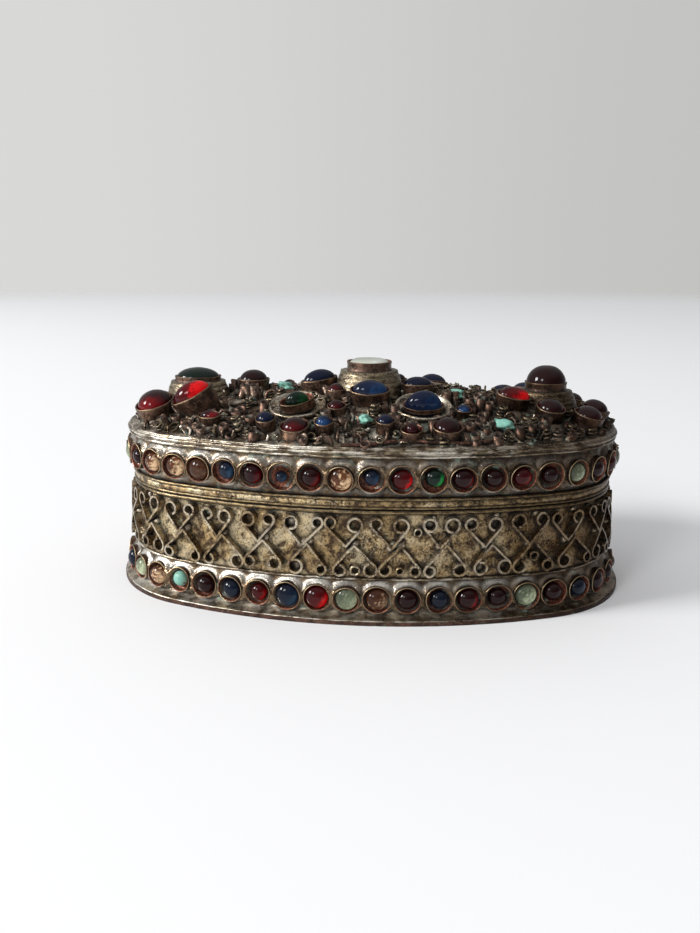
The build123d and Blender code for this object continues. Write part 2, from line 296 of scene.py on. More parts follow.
def solidsOf(name):
    # each solid of a CAD node: the middles of its outer end and its foot, its axis, long direction and reach
    shell = bmesh.new()
    shell.from_mesh(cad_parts[name].data)
    bmesh.ops.remove_doubles(shell, verts=shell.verts, dist=1e-6)
    bmesh.ops.dissolve_limit(shell, angle_limit=0.03, verts=shell.verts, edges=shell.edges)
    left = set(shell.verts)
    solids = []
    while left:
        first = min(left, key=lambda v: v.index)
        island, queue = {first}, [first]
        while queue:
            for edge in queue.pop().link_edges:
                for vert in edge.verts:
                    if vert not in island:
                        island.add(vert)
                        queue.append(vert)
        left -= island
        middle = sum((v.co for v in island), Vector()) / len(island)
        away = middle - Vector((0, 0, 0.02))
        faces = {face for vert in island for face in vert.link_faces if len(face.verts) >= 6}
        tops = [face for face in faces if face.normal.dot(away) > 0]
        if not tops:  # a chip, which has no flat end
            solids.append({"top": middle / mm, "foot": middle / mm, "axis": away.normalized(), "long": alongX,
                           "reach": 1.0})
            continue
        top = max(tops, key=lambda face: len(face.verts) * 1000 + face.calc_area())
        axis = top.normal.copy()
        centre = top.calc_center_median()
        far = max(top.verts, key=lambda v: (v.co - centre).length)
        low = min((v.co - centre).dot(axis) for v in island)
        wide = max((v.co - centre - axis * (v.co - centre).dot(axis)).length for v in island)
        solids.append({"top": centre / mm, "foot": (centre + axis * low) / mm, "axis": axis,
                       "long": (far.co - centre).normalized(), "reach": wide / mm})
    shell.free()
    solids.sort(key=lambda s: (round(math.atan2(s["foot"].x, -s["foot"].y), 4), s["foot"].z))
    return solids


def frameOf(axis, along):
    # a rotation whose third axis is the axis and whose first one lies nearest to along
    side = (along - axis * along.dot(axis)).normalized()
    return Matrix((side, axis.cross(side), axis)).transposed()


def turnedBy(rotation, angle, about="Z"):
    return rotation @ Matrix.Rotation(angle, 3, about)


def jitter(rotation, tilt, pick):
    rotation = turnedBy(rotation, math.radians(pick.uniform(-tilt, tilt)), "X")
    return turnedBy(rotation, math.radians(pick.uniform(-tilt, tilt)), "Y")


ovalPath = ovalCurve("ovalPath", 0)
ovalAtWall = ovalCurve("ovalAtWall", wallPlan["inset"])


# Materials

def shaderOf(name):
    material = bpy.data.materials.new(name)
    material.use_nodes = True
    trees.append(material.node_tree)
    return material, material.node_tree.nodes["Principled BSDF"]


def cloud(place, size, detail=3.0, rough=0.6, seed=0.0):
    moved = vector("ADD", place, (seed, seed * 0.7, seed * 1.3))
    return put("ShaderNodeTexNoise", {
        "Vector": moved, "Scale": 1 / (size * mm), "Detail": detail, "Roughness": rough})


def ramp(value, low, high):
    return put("ShaderNodeMapRange", {"Value": value, "From Min": low, "From Max": high},
               interpolation_type="SMOOTHSTEP")


def bumped(strength, distance, height):
    return put("ShaderNodeBump", {"Strength": strength, "Distance": distance * mm, "Height": height})


def dyed(colour, tint):
    return blend(1.0, colour, tint, mode="MULTIPLY")


def attribute(name):
    return put("ShaderNodeAttribute", output="Fac", attribute_name=name)


def wrapMap():
    return partsOf(put("ShaderNodeUVMap", uv_map="wrap"))


finishKeys = ("light", "dark", "pale", "green", "rough", "patch", "bump", "hollow")
finishes = {
    # light and dark metal, bright worn spots, verdigris share, roughness low and high, patch size, bump, hollow
    # reach, and where they aren't the usual ones: grime with painted shade in the hollows, bright solder that
    # floods it, dark specks and how far its marks are drawn out sideways
    "wallBrass": ((0.46, 0.32, 0.155), (0.080, 0.051, 0.031), (0.94, 0.81, 0.54), 0.12,
        (0.24, 0.46), 1.8, 1.0, 1.55, {"grime": (0.012, 0.008, 0.006), "flood": 0.42, "specks": 0.9}),
    "stripBrass": ((0.40, 0.295, 0.165), (0.12, 0.078, 0.045), (0.95, 0.88, 0.72), 0.2,
        (0.16, 0.36), 1.5, 0.3, 1.3, {"flood": 0.3, "specks": 0.5}),
    "solder": ((0.64, 0.555, 0.42), (0.21, 0.15, 0.10), (0.96, 0.91, 0.81), 0.3,
        (0.22, 0.42), 2.4, 0.35, 1.9, {"grime": (0.012, 0.008, 0.006), "specks": 0.35}),
    "flangeMetal": ((0.38, 0.30, 0.195), (0.10, 0.068, 0.045), (0.95, 0.88, 0.75), 0.3,
        (0.18, 0.4), 2.6, 0.45, 1.2, {"flood": 0.7, "specks": 0.65, "drawn": 3.0}),
    "copperEdge": ((0.15, 0.074, 0.052), (0.052, 0.029, 0.022), (0.45, 0.27, 0.19), 0.1,
        (0.26, 0.5), 2.2, 0.3, 1.5, {}),
    "goldWire": ((0.32, 0.23, 0.115), (0.09, 0.062, 0.037), (0.82, 0.70, 0.46), 0.12,
        (0.18, 0.42), 1.5, 0.35, 1.1, {"drawn": 2.5}),
    "collarBrass": ((0.28, 0.22, 0.135), (0.085, 0.06, 0.04), (0.74, 0.66, 0.50), 0.24,
        (0.18, 0.5), 1.8, 0.5, 1.5, {"grime": (0.009, 0.006, 0.005), "specks": 0.4, "drawn": 2.0}),
    "crownBrass": ((0.20, 0.135, 0.09), (0.05, 0.032, 0.023), (0.80, 0.74, 0.62), 0.34,
        (0.18, 0.48), 1.7, 0.5, 2.2, {"grime": (0.006, 0.0045, 0.0035), "flood": 0.5}),
    "cupCopper": ((0.17, 0.10, 0.07), (0.055, 0.033, 0.025), (0.42, 0.30, 0.21), 0.16,
        (0.26, 0.52), 2.0, 0.4, 1.7, {"grime": (0.008, 0.0055, 0.0045)}),
}
usual = {"grime": (0.010, 0.007, 0.005), "drawn": 1.0}
wear = {
    # where each effect starts and where it is full, on its noise or its hollow
    "light": (0.38, 0.62), "bright": (0.5, 0.72), "brightAreas": (0.35, 0.65), "pool": (0.12, 0.6),
    "flood": (0.47, 0.6), "speck": (0.46, 0.36), "paintedRightShade": (0.002, 0.055), "lipFoot": (0.43, 0.465),
    "lipTop": (0.56, 0.53), "inside": (0.57, 0.62), "insideLight": (0.38, 0.55), "deep": (0.86, 0.38),
    "mossHollow": (0.95, 0.55),
}
stains = {"paintedRightShade": (0.20, 0.145, 0.105), "verdigris": (0.36, 0.52, 0.42), "insideDark": (0.04, 0.02, 0.016),
          "insideLight": (0.36, 0.125, 0.075)}


def metal(name, rim=None, **changes):
    *values, own = finishes[name]
    look = {**usual, **dict(zip(finishKeys, values)), **own, **changes}
    material, shader = shaderOf(name)
    place = put("ShaderNodeTexCoord", output="Object")
    marks = vector("MULTIPLY", place, (1.0, 1.0, look["drawn"]))
    patch = cloud(marks, look["patch"], 4.0, 0.62)
    fine = cloud(marks, look["patch"] * 0.22, 3.0, 0.65, 3.1)
    broad = cloud(marks, 9.0, 2.0, 0.5, 7.7)
    colour = blend(ramp(patch, *wear["light"]), look["dark"], look["light"])
    colour = blend(ramp(fine, *wear["bright"]) * ramp(broad, *wear["brightAreas"]), colour, look["pale"])
    # solder that climbs the feet is lighter and the low skin darker: partly the solder's own colour, and on the
    # rows also painted highlight on the fillets and painted shade in the gaps between cups
    if "pooled" in look:
        pooled = ramp(attribute("pooled"), *wear["pool"])
        low, high = look["pooled"]
        colour = blend(pooled, dyed(colour, low), blend(0.75, colour, high))
    if "flood" in look:
        flood = cloud(marks, 6.5, 2.0, 0.5, 21.0) + (patch - 0.5) * 0.35
        colour = blend(ramp(flood, *wear["flood"]) * look["flood"], colour, look["pale"])
    if "specks" in look:
        speck = [0.3 * share for share in look["dark"]]
        colour = blend(ramp(fine, *wear["speck"]) * look["specks"], colour, speck)
    # painted shade: the right-hand side, away from the window lamp, is darkened
    paintedRightShade = ramp(partsOf(place)[0] + (broad - 0.5) * 0.05, *wear["paintedRightShade"]) * 0.86
    colour = blend(paintedRightShade, colour, dyed(colour, stains["paintedRightShade"]))
    if rim:  # thin bright lip and red-brown inside, from the cup's own map
        share = wrapMap()[1]
        lip = ramp(share, *wear["lipFoot"]) * ramp(share, *wear["lipTop"])
        colour = blend(lip * 0.85, colour, blend(patch, *rim))
        inside = ramp(share, *wear["inside"])
        brown = blend(ramp(fine, *wear["insideLight"]), stains["insideDark"], stains["insideLight"])
        colour = blend(inside, colour, brown)
    # painted shade: ambient occlusion darkens hollows, creases and gaps between parts, together with grime
    hollow = put("ShaderNodeAmbientOcclusion", {"Distance": look["hollow"] * mm}, "AO", samples=6)
    deep = ramp(hollow + (patch - 0.5) * 0.4, *wear["deep"])
    if rim:
        deep = deep * (1.0 - inside * 0.45)
    colour = blend(deep * 0.92, colour, look["grime"])
    mossy = ramp(cloud(place, 2.9, 4.0, 0.7, 12.3), 0.66 - look["green"] * 0.35, 0.74)
    mossy = mossy * ramp(hollow, *wear["mossHollow"])
    colour = blend(mossy * 0.75, colour, stains["verdigris"])
    dull = calc("MAXIMUM", mossy, deep)
    roughness = blend(patch * 0.5 + fine * 0.5, *look["rough"], "FLOAT")
    feed(shader, {
        "Base Color": colour,
        "Roughness": blend(dull, roughness, 0.78, "FLOAT"),
        "Metallic": blend(dull, 0.95, 0.25, "FLOAT"),
        "Normal": bumped(look["bump"], 0.25, fine * 0.5 + patch),
    })
    return material


glasses = {
    # colour in depth, half lit and where the light gathers, and the share of bright flaws
    "garnet": ((0.008, 0.0012, 0.0014), (0.024, 0.002, 0.003), (0.26, 0.004, 0.008), 0.05),
    "red": ((0.022, 0.0010, 0.0016), (0.085, 0.002, 0.003), (0.78, 0.004, 0.006), 0.08),
    "amber": ((0.030, 0.010, 0.005), (0.15, 0.055, 0.024), (0.90, 0.62, 0.36), 1.0),
    "blue": ((0.003, 0.004, 0.009), (0.007, 0.017, 0.038), (0.022, 0.068, 0.13), 0.1),
    "navy": ((0.003, 0.004, 0.015), (0.005, 0.013, 0.040), (0.011, 0.042, 0.125), 0.1),
    "green": ((0.003, 0.007, 0.005), (0.004, 0.018, 0.010), (0.006, 0.30, 0.055), 0.1),
    "pale": ((0.06, 0.07, 0.045), (0.26, 0.30, 0.19), (0.68, 0.75, 0.48), 0.5),
    "white": ((0.36, 0.37, 0.31), (0.58, 0.60, 0.52), (0.78, 0.80, 0.71), 0.3),
}
glow = {"half": (-0.7, 0.5), "lit": (0.25, 0.8), "foilFrom": 0.4, "foilCell": 0.55, "foil": (0.6, 1.0),
        "crack": (0.42, 0.2)}


def glass(name):
    deep, half, bright, flaws = glasses[name]
    material, shader = shaderOf(name + "Glass")
    place = put("ShaderNodeTexCoord", output="Object")
    across, up = [side - 0.5 for side in wrapMap()[:2]]
    # tone is how much of the painted glow this stone gets
    tone = attribute("tone")
    cracks = cloud(place, 0.9, 3.0, 0.65, 5.0)
    # painted glow: light that came in at the upper left is painted as gathering at the lower right
    gather = across * 1.7 - up * 0.9 + (cracks - 0.5) * 0.9
    colour = blend(ramp(gather, *glow["half"]) * (tone * 0.8 + 0.2), deep, half)
    colour = blend(ramp(gather, *glow["lit"]) * ramp(tone, 0.1, 1.0), colour, bright)
    if flaws > glow["foilFrom"]:  # facets and foil that sparkle, and dull brown where the stone is opaque
        scale = 1 / (glow["foilCell"] * mm)
        cells = put("ShaderNodeTexVoronoi", {"Vector": place, "Scale": scale}, "Color", feature="F1")
        facet = put("ShaderNodeSeparateColor", {0: cells})
        # painted glints on the facets and foil, stronger towards the painted glow
        sparkle = ramp(facet + gather * 0.45, *glow["foil"]) * flaws
        colour = blend(sparkle * ramp(tone, 0.0, 0.9), colour, bright)
        colour = blend(ramp(cracks - facet * 0.25, *glow["crack"]) * (flaws * 0.7), colour, deep)
    feed(shader, {
        "Base Color": colour,
        "Roughness": ramp(cloud(place, 1.6, 3.0, 0.6, 9.0), 0.5, 0.75) * 0.22 + 0.03,
        "Normal": bumped(0.2, 0.2, cloud(place, 1.4, 2.0, 0.5, 2.0)),
        "IOR": 1.5,
        "Specular IOR Level": 0.22,
    })
    return material


def turquoiseStone():
    material, shader = shaderOf("turquoiseStone")
    place = put("ShaderNodeTexCoord", output="Object")
    veins = ramp(cloud(place, 1.1, 5.0, 0.7), 0.32, 0.42)
    colour = blend(cloud(place, 2.4, 3.0, 0.6, 4.0), (0.11, 0.33, 0.285), (0.27, 0.53, 0.40))
    feed(shader, {
        "Base Color": blend(veins, (0.12, 0.10, 0.06), colour),
        "Roughness": veins * -0.2 + 0.6,
        "Normal": bumped(0.4, 0.2, cloud(place, 0.7, 4.0)),
    })
    return material


wallBrass = metal("wallBrass")
stripBrass = metal("stripBrass")
solder = metal("solder")
# the rows' solder: painted highlight on the fillets round the cups and painted shade in the low gaps between
# them
pooledSolderPaintedLightAndShade = metal(
    "solder", pooled=((0.36, 0.285, 0.215), (1.0, 0.97, 0.9)), hollow=2.2, rough=(0.13, 0.34), bump=0.5)
plateSolder = metal("solder", flood=0.6, hollow=1.3, drawn=1.8)
floodedCrown = metal("crownBrass", pooled=((0.8, 0.75, 0.7), (0.44, 0.37, 0.27)))
dishMetal = metal("flangeMetal", flood=0.4)
flangeMetal = metal("flangeMetal")
collarBrass = metal("collarBrass")
copperEdge = metal("copperEdge")
goldWire = metal("goldWire")
crownBrass = metal("crownBrass")
cupCopper = metal("cupCopper", rim=((0.26, 0.185, 0.10), (0.80, 0.64, 0.37)))
crownCopper = metal("cupCopper", rim=((0.09, 0.058, 0.038), (0.30, 0.215, 0.125)))
postCopper = metal("cupCopper", green=0.34, pale=(0.55, 0.46, 0.36))
stones = {name: glass(name) for name in glasses}
stones["turquoise"] = turquoiseStone()
print("finishes ready")


# Trees

treeLook = {"seedStep": (1.7, 2.3, 3.1), "stripWobble": 3, "wireWobble": 1.5, "crease": 0.9, "lumpScale": 160.0,
            "lumpSwell": 1.6, "evenSwell": 0.2}


def shapeOf(given):
    return put("GeometryNodeObjectInfo", {"Object": given}, "Geometry")


def stored(name):
    return put("GeometryNodeInputNamedAttribute", {"Name": name}, data_type="FLOAT_VECTOR")


def noisePush(geometry, amount, size, seed, along=None):
    # moves a mesh by noise, every way or along one direction only
    place = vector("SCALE", put("GeometryNodeInputPosition"), calc("DIVIDE", 1.0, size))
    place = vector("ADD", place, vector("SCALE", treeLook["seedStep"], seed))
    inputs = {"Vector": place, "Scale": 1.0, "Detail": 2.0}
    noisy = put("ShaderNodeTexNoise", inputs, "Fac" if along else "Color")
    if along:
        push = vector("SCALE", along, (noisy - 0.5) * (amount * 2.0))
    else:
        push = vector("SCALE", vector("SUBTRACT", noisy, (0.5, 0.5, 0.5)), amount * 2.0)
    return put("GeometryNodeSetPosition", {"Geometry": geometry, "Offset": push})


def curveMesh(runs, section, **caps):
    return put("GeometryNodeCurveToMesh", {"Curve": runs, "Profile Curve": section, **caps})


def upNormals(curve):
    return put("GeometryNodeSetCurveNormal", {0: curve}, mode="Z_UP")


def ringTree():
    given = newTree("ringAlongOval", "Path", "Section", "Dents", "Dent size", "Seed", "Material")
    ring = curveMesh(upNormals(shapeOf(given["Path"])), shapeOf(given["Section"]))
    ring = noisePush(ring, given["Dents"], given["Dent size"], given["Seed"])
    return endTree(ring, given["Material"])


def placeTree():
    given = newTree("setOnSpots", "Unit", "Wobble", "Wobble size", "Seed", "Material")
    made = put("GeometryNodeInstanceOnPoints", {
        "Points": put("GeometryNodeMeshToPoints", {0: given["Geometry"]}), "Instance": shapeOf(given["Unit"]),
        "Rotation": put("FunctionNodeEulerToRotation", {0: stored("turn")}), "Scale": stored("size")})
    made = put("GeometryNodeRealizeInstances", {0: made})
    made = noisePush(made, given["Wobble"], given["Wobble size"], given["Seed"])
    return endTree(made, given["Material"], smooth=False)


def stripTree():
    # flat runs of strip, bent round the oval: x is along it, y is up and z is away from the wall
    given = newTree(
        "stripRoundOval", "Path", "Depth", "Thickness", "Wall foot", "Lean", "Wobble", "Seed", "Material")
    runs = upNormals(put("GeometryNodeMeshToCurve", {0: given["Geometry"]}))
    size = {"Width": given["Thickness"], "Height": given["Depth"]}
    section = put("GeometryNodeCurvePrimitiveQuadrilateral", size, mode="RECTANGLE")
    strips = curveMesh(runs, section, **{"Fill Caps": True})
    strips = noisePush(strips, given["Wobble"], treeLook["stripWobble"] * mm, given["Seed"])
    flat = partsOf(put("GeometryNodeInputPosition"))
    path = shapeOf(given["Path"])
    whole = put("GeometryNodeCurveLength", {0: path})
    spot = node("GeometryNodeSampleCurve", {"Curves": path, "Length": calc("MODULO", flat[0] + whole, whole)},
                mode="LENGTH", use_all_curves=False).outputs
    heading = partsOf(Term(spot["Tangent"]))
    outward = put("ShaderNodeCombineXYZ", {0: heading[1], 1: heading[0] * -1.0})
    reach = flat[2] - (flat[1] - given["Wall foot"]) * given["Lean"]
    bent = vector("ADD", Term(spot["Position"]), vector("SCALE", vector("NORMALIZE", outward), reach))
    bent = vector("ADD", bent, put("ShaderNodeCombineXYZ", {2: flat[1]}))
    strips = put("GeometryNodeSetPosition", {"Geometry": strips, "Position": bent})
    return endTree(strips, given["Material"], crease=treeLook["crease"])


def solderTree():
    # a skin that climbs whatever stands on it, up to rings drawn round the feet
    given = newTree("solderSkin", "Feet", "Climb", "Reach", "Ripple", "Ripple size", "Seed", "Material")
    near = put("GeometryNodeProximity", {0: shapeOf(given["Feet"])}, "Distance", target_element="EDGES")
    out = stored("out")
    place = vector("SCALE", put("GeometryNodeInputPosition"), treeLook["lumpScale"])
    lumps = put("ShaderNodeTexNoise", {"Vector": place, "Scale": 1.0, "Detail": 1.0}, "Fac")
    flow = given["Climb"] * calc("EXPONENT", calc("DIVIDE", near, given["Reach"]) * -1.0)
    flow = flow * (lumps * treeLook["lumpSwell"] + treeLook["evenSwell"])
    skin = put("GeometryNodeSetPosition", {"Geometry": given["Geometry"], "Offset": vector("SCALE", out, flow)})
    skin = noisePush(skin, given["Ripple"], given["Ripple size"], given["Seed"], out)
    pooled = {"Geometry": skin, "Name": "pooled", "Value": calc("DIVIDE", flow, given["Climb"])}
    skin = put("GeometryNodeStoreNamedAttribute", pooled, data_type="FLOAT", domain="POINT")
    return endTree(skin, given["Material"])


def wireTree():
    given = newTree("wireAlongRuns", "Radius", "Sides", "Wobble", "Seed", "Material")
    runs = put("GeometryNodeMeshToCurve", {0: given["Geometry"]})
    section = put("GeometryNodeCurvePrimitiveCircle", {"Resolution": given["Sides"], "Radius": given["Radius"]})
    wires = curveMesh(runs, section, **{"Fill Caps": True})
    wires = noisePush(wires, given["Wobble"], treeLook["wireWobble"] * mm, given["Seed"])
    return endTree(wires, given["Material"])


ringNodes, placeNodes, stripNodes = ringTree(), placeTree(), stripTree()
solderNodes, wireNodes = solderTree(), wireTree()
print("trees ready")


# Units that the trees repeat

def wrapped(made, spots):
    layer = made.data.uv_layers.new(name="wrap")
    for loop in made.data.loops:
        layer.data[loop.index].uv = spots[loop.vertex_index]
    return helper(made)


def lathe(name, section, count, rugged=None):
    # turned from (radius, height) pairs; its map runs round it and along the section
    points, marks = [], []
    for row, (radius, height) in enumerate(section):
        for turn, (c, s) in enumerate(circle(count)):
            points.append((radius * c, radius * s, height + (rugged(turn, row) if rugged else 0)))
            marks.append((turn / count, row / (len(section) - 1)))
    return wrapped(meshObject(name, points, gridFaces(len(section), count, len(section) - 1)), marks)


def dome(name, fullness=2.0, count=22, rows=7):
    points, faces = [(0, 0, 1)], []
    for row in range(1, rows + 1):
        radius = math.sin(math.pi / 2 * row / rows)
        points += [(radius * c, radius * s, (1 - radius ** fullness) ** (1 / 2)) for c, s in circle(count)]
    points += [(0.96 * c, 0.96 * s, -0.22) for c, s in circle(count)]
    for turn in range(count):
        after = (turn + 1) % count
        faces.append((0, 1 + turn, 1 + after))
        for row in range(rows):
            first = 1 + row * count
            faces.append((first + turn, first + count + turn, first + count + after, first + after))
    faces.append(tuple(1 + rows * count + turn for turn in reversed(range(count))))
    return wrapped(meshObject(name, points, faces), [(x / 2 + 0.5, y / 2 + 0.5) for x, y, _ in points])


def ball(name, subdivisions, lumps=0.0):
    shell = bmesh.new()
    bmesh.ops.create_icosphere(shell, subdivisions=subdivisions, radius=mm)
    for vert in shell.verts:
        vert.co *= 1 + lumps * noise.noise(vert.co * 1300 + Vector((4, 1, 0)))
    for face in shell.faces:
        face.smooth = True
    mesh = bpy.data.meshes.new(name)
    shell.to_mesh(mesh)
    shell.free()
    return helper(stand(name, mesh))


def placed(name, unit, spots, material, wobble, wobbleSize, seed):
    # spots are (place, rotation matrix, size, tone)
    made = meshObject(name + "Spots", [spot[0] for spot in spots])
    layers = made.data.attributes
    for label, kind in (("turn", "FLOAT_VECTOR"), ("size", "FLOAT_VECTOR"), ("tone", "FLOAT")):
        layers.new(label, kind, "POINT")
    for index, (_, rotation, size, tone) in enumerate(spots):
        layers["turn"].data[index].vector = rotation.to_euler("XYZ")
        layers["size"].data[index].vector = size
        layers["tone"].data[index].value = tone
    return grown(name, made, placeNodes, {
        "Unit": unit, "Wobble": wobble * mm, "Wobble size": wobbleSize * mm, "Seed": seed,
        "Material": material})


def ring(name, section, material, dents, dentSize, seed, body, slot, *nodes):
    # section is a list of (inset from the base plate's edge, height)
    shape = loopCurve(name + "Section", [(-inset, -height, 0) for inset, height in section])
    made = grown(name, meshObject(name + "Start", [(0, 0, 0)]), ringNodes, {
        "Path": ovalPath, "Section": shape, "Dents": dents * mm, "Dent size": dentSize * mm, "Seed": seed,
        "Material": material})
    settle(made, body, slot, *nodes)


def runMesh(name, runs, closed=False):
    # separate runs of points, as edges
    points, edges = [], []
    for run in runs:
        first = len(points)
        points += run
        edges += [(first + i, first + i + 1) for i in range(len(run) - 1)]
        if closed:
            edges.append((len(points) - 1, first))
    return meshObject(name, points, edges=edges)


def wire(name, run, radius, count, material=crownBrass, wobble=0.0, seed=0, closed=False):
    return grown(name, runMesh(name + "Run", [run], closed), wireNodes, {
        "Radius": radius * mm, "Sides": count, "Wobble": wobble * mm, "Seed": seed, "Material": material})


def acrossOf(solid):
    return solid.get("across", (solid["reach"], solid["reach"]))


def footRings(name, solids, grow, count=20):
    runs = []
    for solid in solids:
        turned = frameOf(solid["axis"], solid["long"])
        wide, narrow = (side * grow for side in acrossOf(solid))
        runs.append([solid["foot"] + turned @ Vector((wide * c, narrow * s, 0)) for c, s in circle(count)])
    return helper(runMesh(name, runs, True))


# Rings of the body and the lid

def roundSection(inset, height, radius, count=8):
    return [(inset + radius * c, height + radius * s) for c, s in circle(count)]


def stackedSection(wires, back):
    section = []
    for inset, height, radius in wires:
        for turn in (-62, -25, 10, 45, 70):
            angle = math.radians(turn)
            section.append((inset - radius * math.cos(angle), height + radius * math.sin(angle)))
    return section + back


wallRise = [wallPlan["foot"] + wallPlan["rise"] * step / 14 for step in range(15)]
wallSection = [(wallInset(z), z) for z in wallRise]
wallSection += [(inset + wallPlan["sheet"], z) for inset, z in reversed(wallSection)]
flangeWires = [
    # inset, height and radius
    (3.5, 38.55, 0.34), (3.62, 39.05, 0.26), (3.3, 39.52, 0.36), (3.55, 39.98, 0.24), (3.75, 40.3, 0.3)]
flangeBack = [(4.6, 40.35), (5.6, 40.1), (6.0, 39.4), (4.9, 38.3), (4.0, 38.25)]
ringPlans = {
    # section, metal, depth and size of the dents, seed, body, slot and the node it replaces
    "body_wall_sheet": (wallSection, wallBrass, 0.12, 9.0, 2, "base", "wall_sheet", "body_wall"),
    "rim_wire_round": (roundSection(4.45, 25.6, 0.5), goldWire, 0.05, 5.0, 3, "base", "rim_gold", "rim_wire"),
    "foot_line_wire": (roundSection(3.55, 9.9, 0.34, 6), flangeMetal, 0.26, 2.4, 4, "base", "rim_gold"),
    "inner_guide": ([(4.9, 21.1), (5.25, 29.1), (5.75, 29.1), (5.65, 21.1)], crownBrass, 0.05, 8.0, 5,
                    "base", "inner_sheet", "inner_collar"),
    "lid_skirt_sheet": ([(4.7, 26.4), (4.7, 30.0), (4.7, 34.0), (4.7, 38.6), (5.4, 38.6), (5.4, 26.4)],
                        wallBrass, 0.05, 8.0, 6, "lid", "skirt_sheet", "lid_skirt"),
    "lid_band_strip": ([(4.1, 26.6), (4.05, 27.5), (4.1, 28.5), (4.7, 28.6), (4.7, 26.5)],
                       wallBrass, 0.06, 6.0, 7, "lid", "band_strip", "lid_band"),
    "lid_seam_wire": (roundSection(4.05, 26.65, 0.28), goldWire, 0.06, 4.0, 8, "lid", "band_strip"),
    "lid_row_wire": (roundSection(3.95, 28.75, 0.33), goldWire, 0.06, 4.0, 9, "lid", "band_strip"),
    "lid_flange_wires": (stackedSection(flangeWires, flangeBack), flangeMetal, 0.22, 4.2, 10,
                         "lid", "flange_wire", "lid_flange"),
}
for name, plan in ringPlans.items():
    ring(name, *plan)
print("rings done")


# Rows of bezels and stones

rowLook = {"copies": 45, "spread": 0.06, "tilt": 5, "cupSink": 0.25, "cupHeight": 2.25, "stoneTilt": 6,
           "stoneRadius": 2.72, "stoneHeight": 2.0, "seat": 1.0}
stoneNotes = {
    # counted from the middle of the front: share of the cup filled, how lit, and how far off its middle
    "foot": {-8: (0.92, 0.6), -7: (0.92, 0.75), -6: (0.68, 0.9, -0.06, 0.08), -5: (0.84, 0.1),
             -4: (0.84, 0.25), -3: (0.74, 0.45), -2: (1.0, 0.55), -1: (1.0, 1.0), 0: (0.96, 0.6),
             1: (0.97, 0.35), 2: (0.84, 0.12), 3: (0.8, 0.1, 0.1, 0.0), 4: (0.9, 0.7), 5: (0.8, 0.0),
             6: (1.0, 0.85), 7: (0.84, 0.15), 8: (0.86, 0.95), 9: (0.92, 0.5), 10: (0.85, 0.0)},
    "lid": {-10: (0.9, 0.4), -9: (0.72, 0.0), -8: (0.86, 0.85), -7: (0.92, 1.0, 0.08, 0.0), -6: (0.96, 0.15),
            -5: (0.72, 0.75, 0.1, 0.08), -4: (0.86, 0.4), -3: (0.5, 0.7, 0.0, -0.08), -2: (0.82, 0.5),
            -1: (0.97, 1.0), 0: (0.66, 0.7, 0.0, 0.14), 1: (0.86, 1.0), 2: (0.78, 1.0, 0.1, 0.12),
            3: (0.88, 0.55), 4: (0.78, 0.05, 0.06, 0.0), 5: (0.82, 0.4), 6: (0.74, 0.0), 7: (0.84, 0.95),
            8: (0.8, 1.0), 9: (0.9, 0.1), 10: (0.98, 0.3)},
}
rowColours = ("garnet", "red", "amber", "blue", "green", "pale")
rows = {
    "foot": {"body": "base", "start": -2.8, "inset": 3.6, "wide": 3.28, "stones": rowColours + ("turquoise",)},
    "lid": {"body": "lid", "start": 2.5, "inset": 4.7, "wide": 3.2, "stones": rowColours},
}
cupSection = [(0.0, 0.0), (1.05, 0.0), (1.0, 0.2), (0.985, 0.6), (1.015, 0.93), (1.005, 1.0), (0.955, 1.0),
              (0.925, 0.93), (0.9, 0.6), (0.8, 0.42), (0.0, 0.4)]
cupUnit = lathe("cupUnit", cupSection, 22)
stoneUnit = dome("stoneUnit")
flatStoneUnit = dome("flatStoneUnit", 3.2)
rowPick = random.Random(11)


def noteOf(row, solid):
    # which stone of the row this is
    plan = rows[row]
    step = roundLength(plan["inset"]) / rowLook["copies"]
    spots = {count: alongOval(plan["start"] + count * step, plan["inset"]) for count in range(-22, 23)}
    count = min(spots, key=lambda c: math.hypot(spots[c][0] - solid["foot"].x, spots[c][1] - solid["foot"].y))
    note = stoneNotes[row].get(count, (rowPick.uniform(0.74, 0.98), rowPick.random()))
    return (*note, 0.0, 0.0)[:4]


def facing(solid, tilt):
    # upright on the wall, with a little of the hand's disorder
    return jitter(frameOf(solid["axis"], solid["axis"].cross(-alongZ)), tilt, rowPick)


rowFeet = {}
for row, plan in rows.items():
    bezels = row + "_bezels"
    rowFeet[row] = solidsOf(bezels)
    spots = []
    for rim in rowFeet[row]:
        scale = plan["wide"] * rowPick.uniform(1 - rowLook["spread"], 1 + rowLook["spread"] * 0.4)
        turned = facing(rim, rowLook["tilt"])
        size = (scale, scale * rowPick.uniform(0.95, 1.03), rowLook["cupHeight"])
        spots.append((rim["foot"] - rim["axis"] * rowLook["cupSink"], turned, size, 0.5))
    made = placed(bezels + "_cups", cupUnit, spots, cupCopper, 0.15, 2.2, 21)
    settle(made, plan["body"], "bezel_metal", bezels)
    for colour in plan["stones"]:
        stoneNode = "%s_stones_%s" % (row, colour)
        spots = []
        for solid in solidsOf(stoneNode):
            fill, tone, across, up = noteOf(row, solid)
            radius = rowLook["stoneRadius"] * fill
            turned = facing(solid, rowLook["stoneTilt"])
            place = solid["foot"] - solid["axis"] * (rowLook["stoneHeight"] - rowLook["seat"])
            place += turned @ Vector((across, up, 0)) * rowLook["stoneRadius"]
            size = (radius, radius * rowPick.uniform(0.93, 1.04),
                    rowLook["stoneHeight"] * fill ** 0.5 * rowPick.uniform(0.9, 1.08))
            spots.append((place, turned, size, tone))
        made = placed(stoneNode + "_cabochons", stoneUnit, spots, stones[colour], 0.07, 2.0, 31)
        settle(made, plan["body"], "turquoise" if colour == "turquoise" else "glass_" + colour, stoneNode)
print("rows done")


# Solder that has pooled round the rows

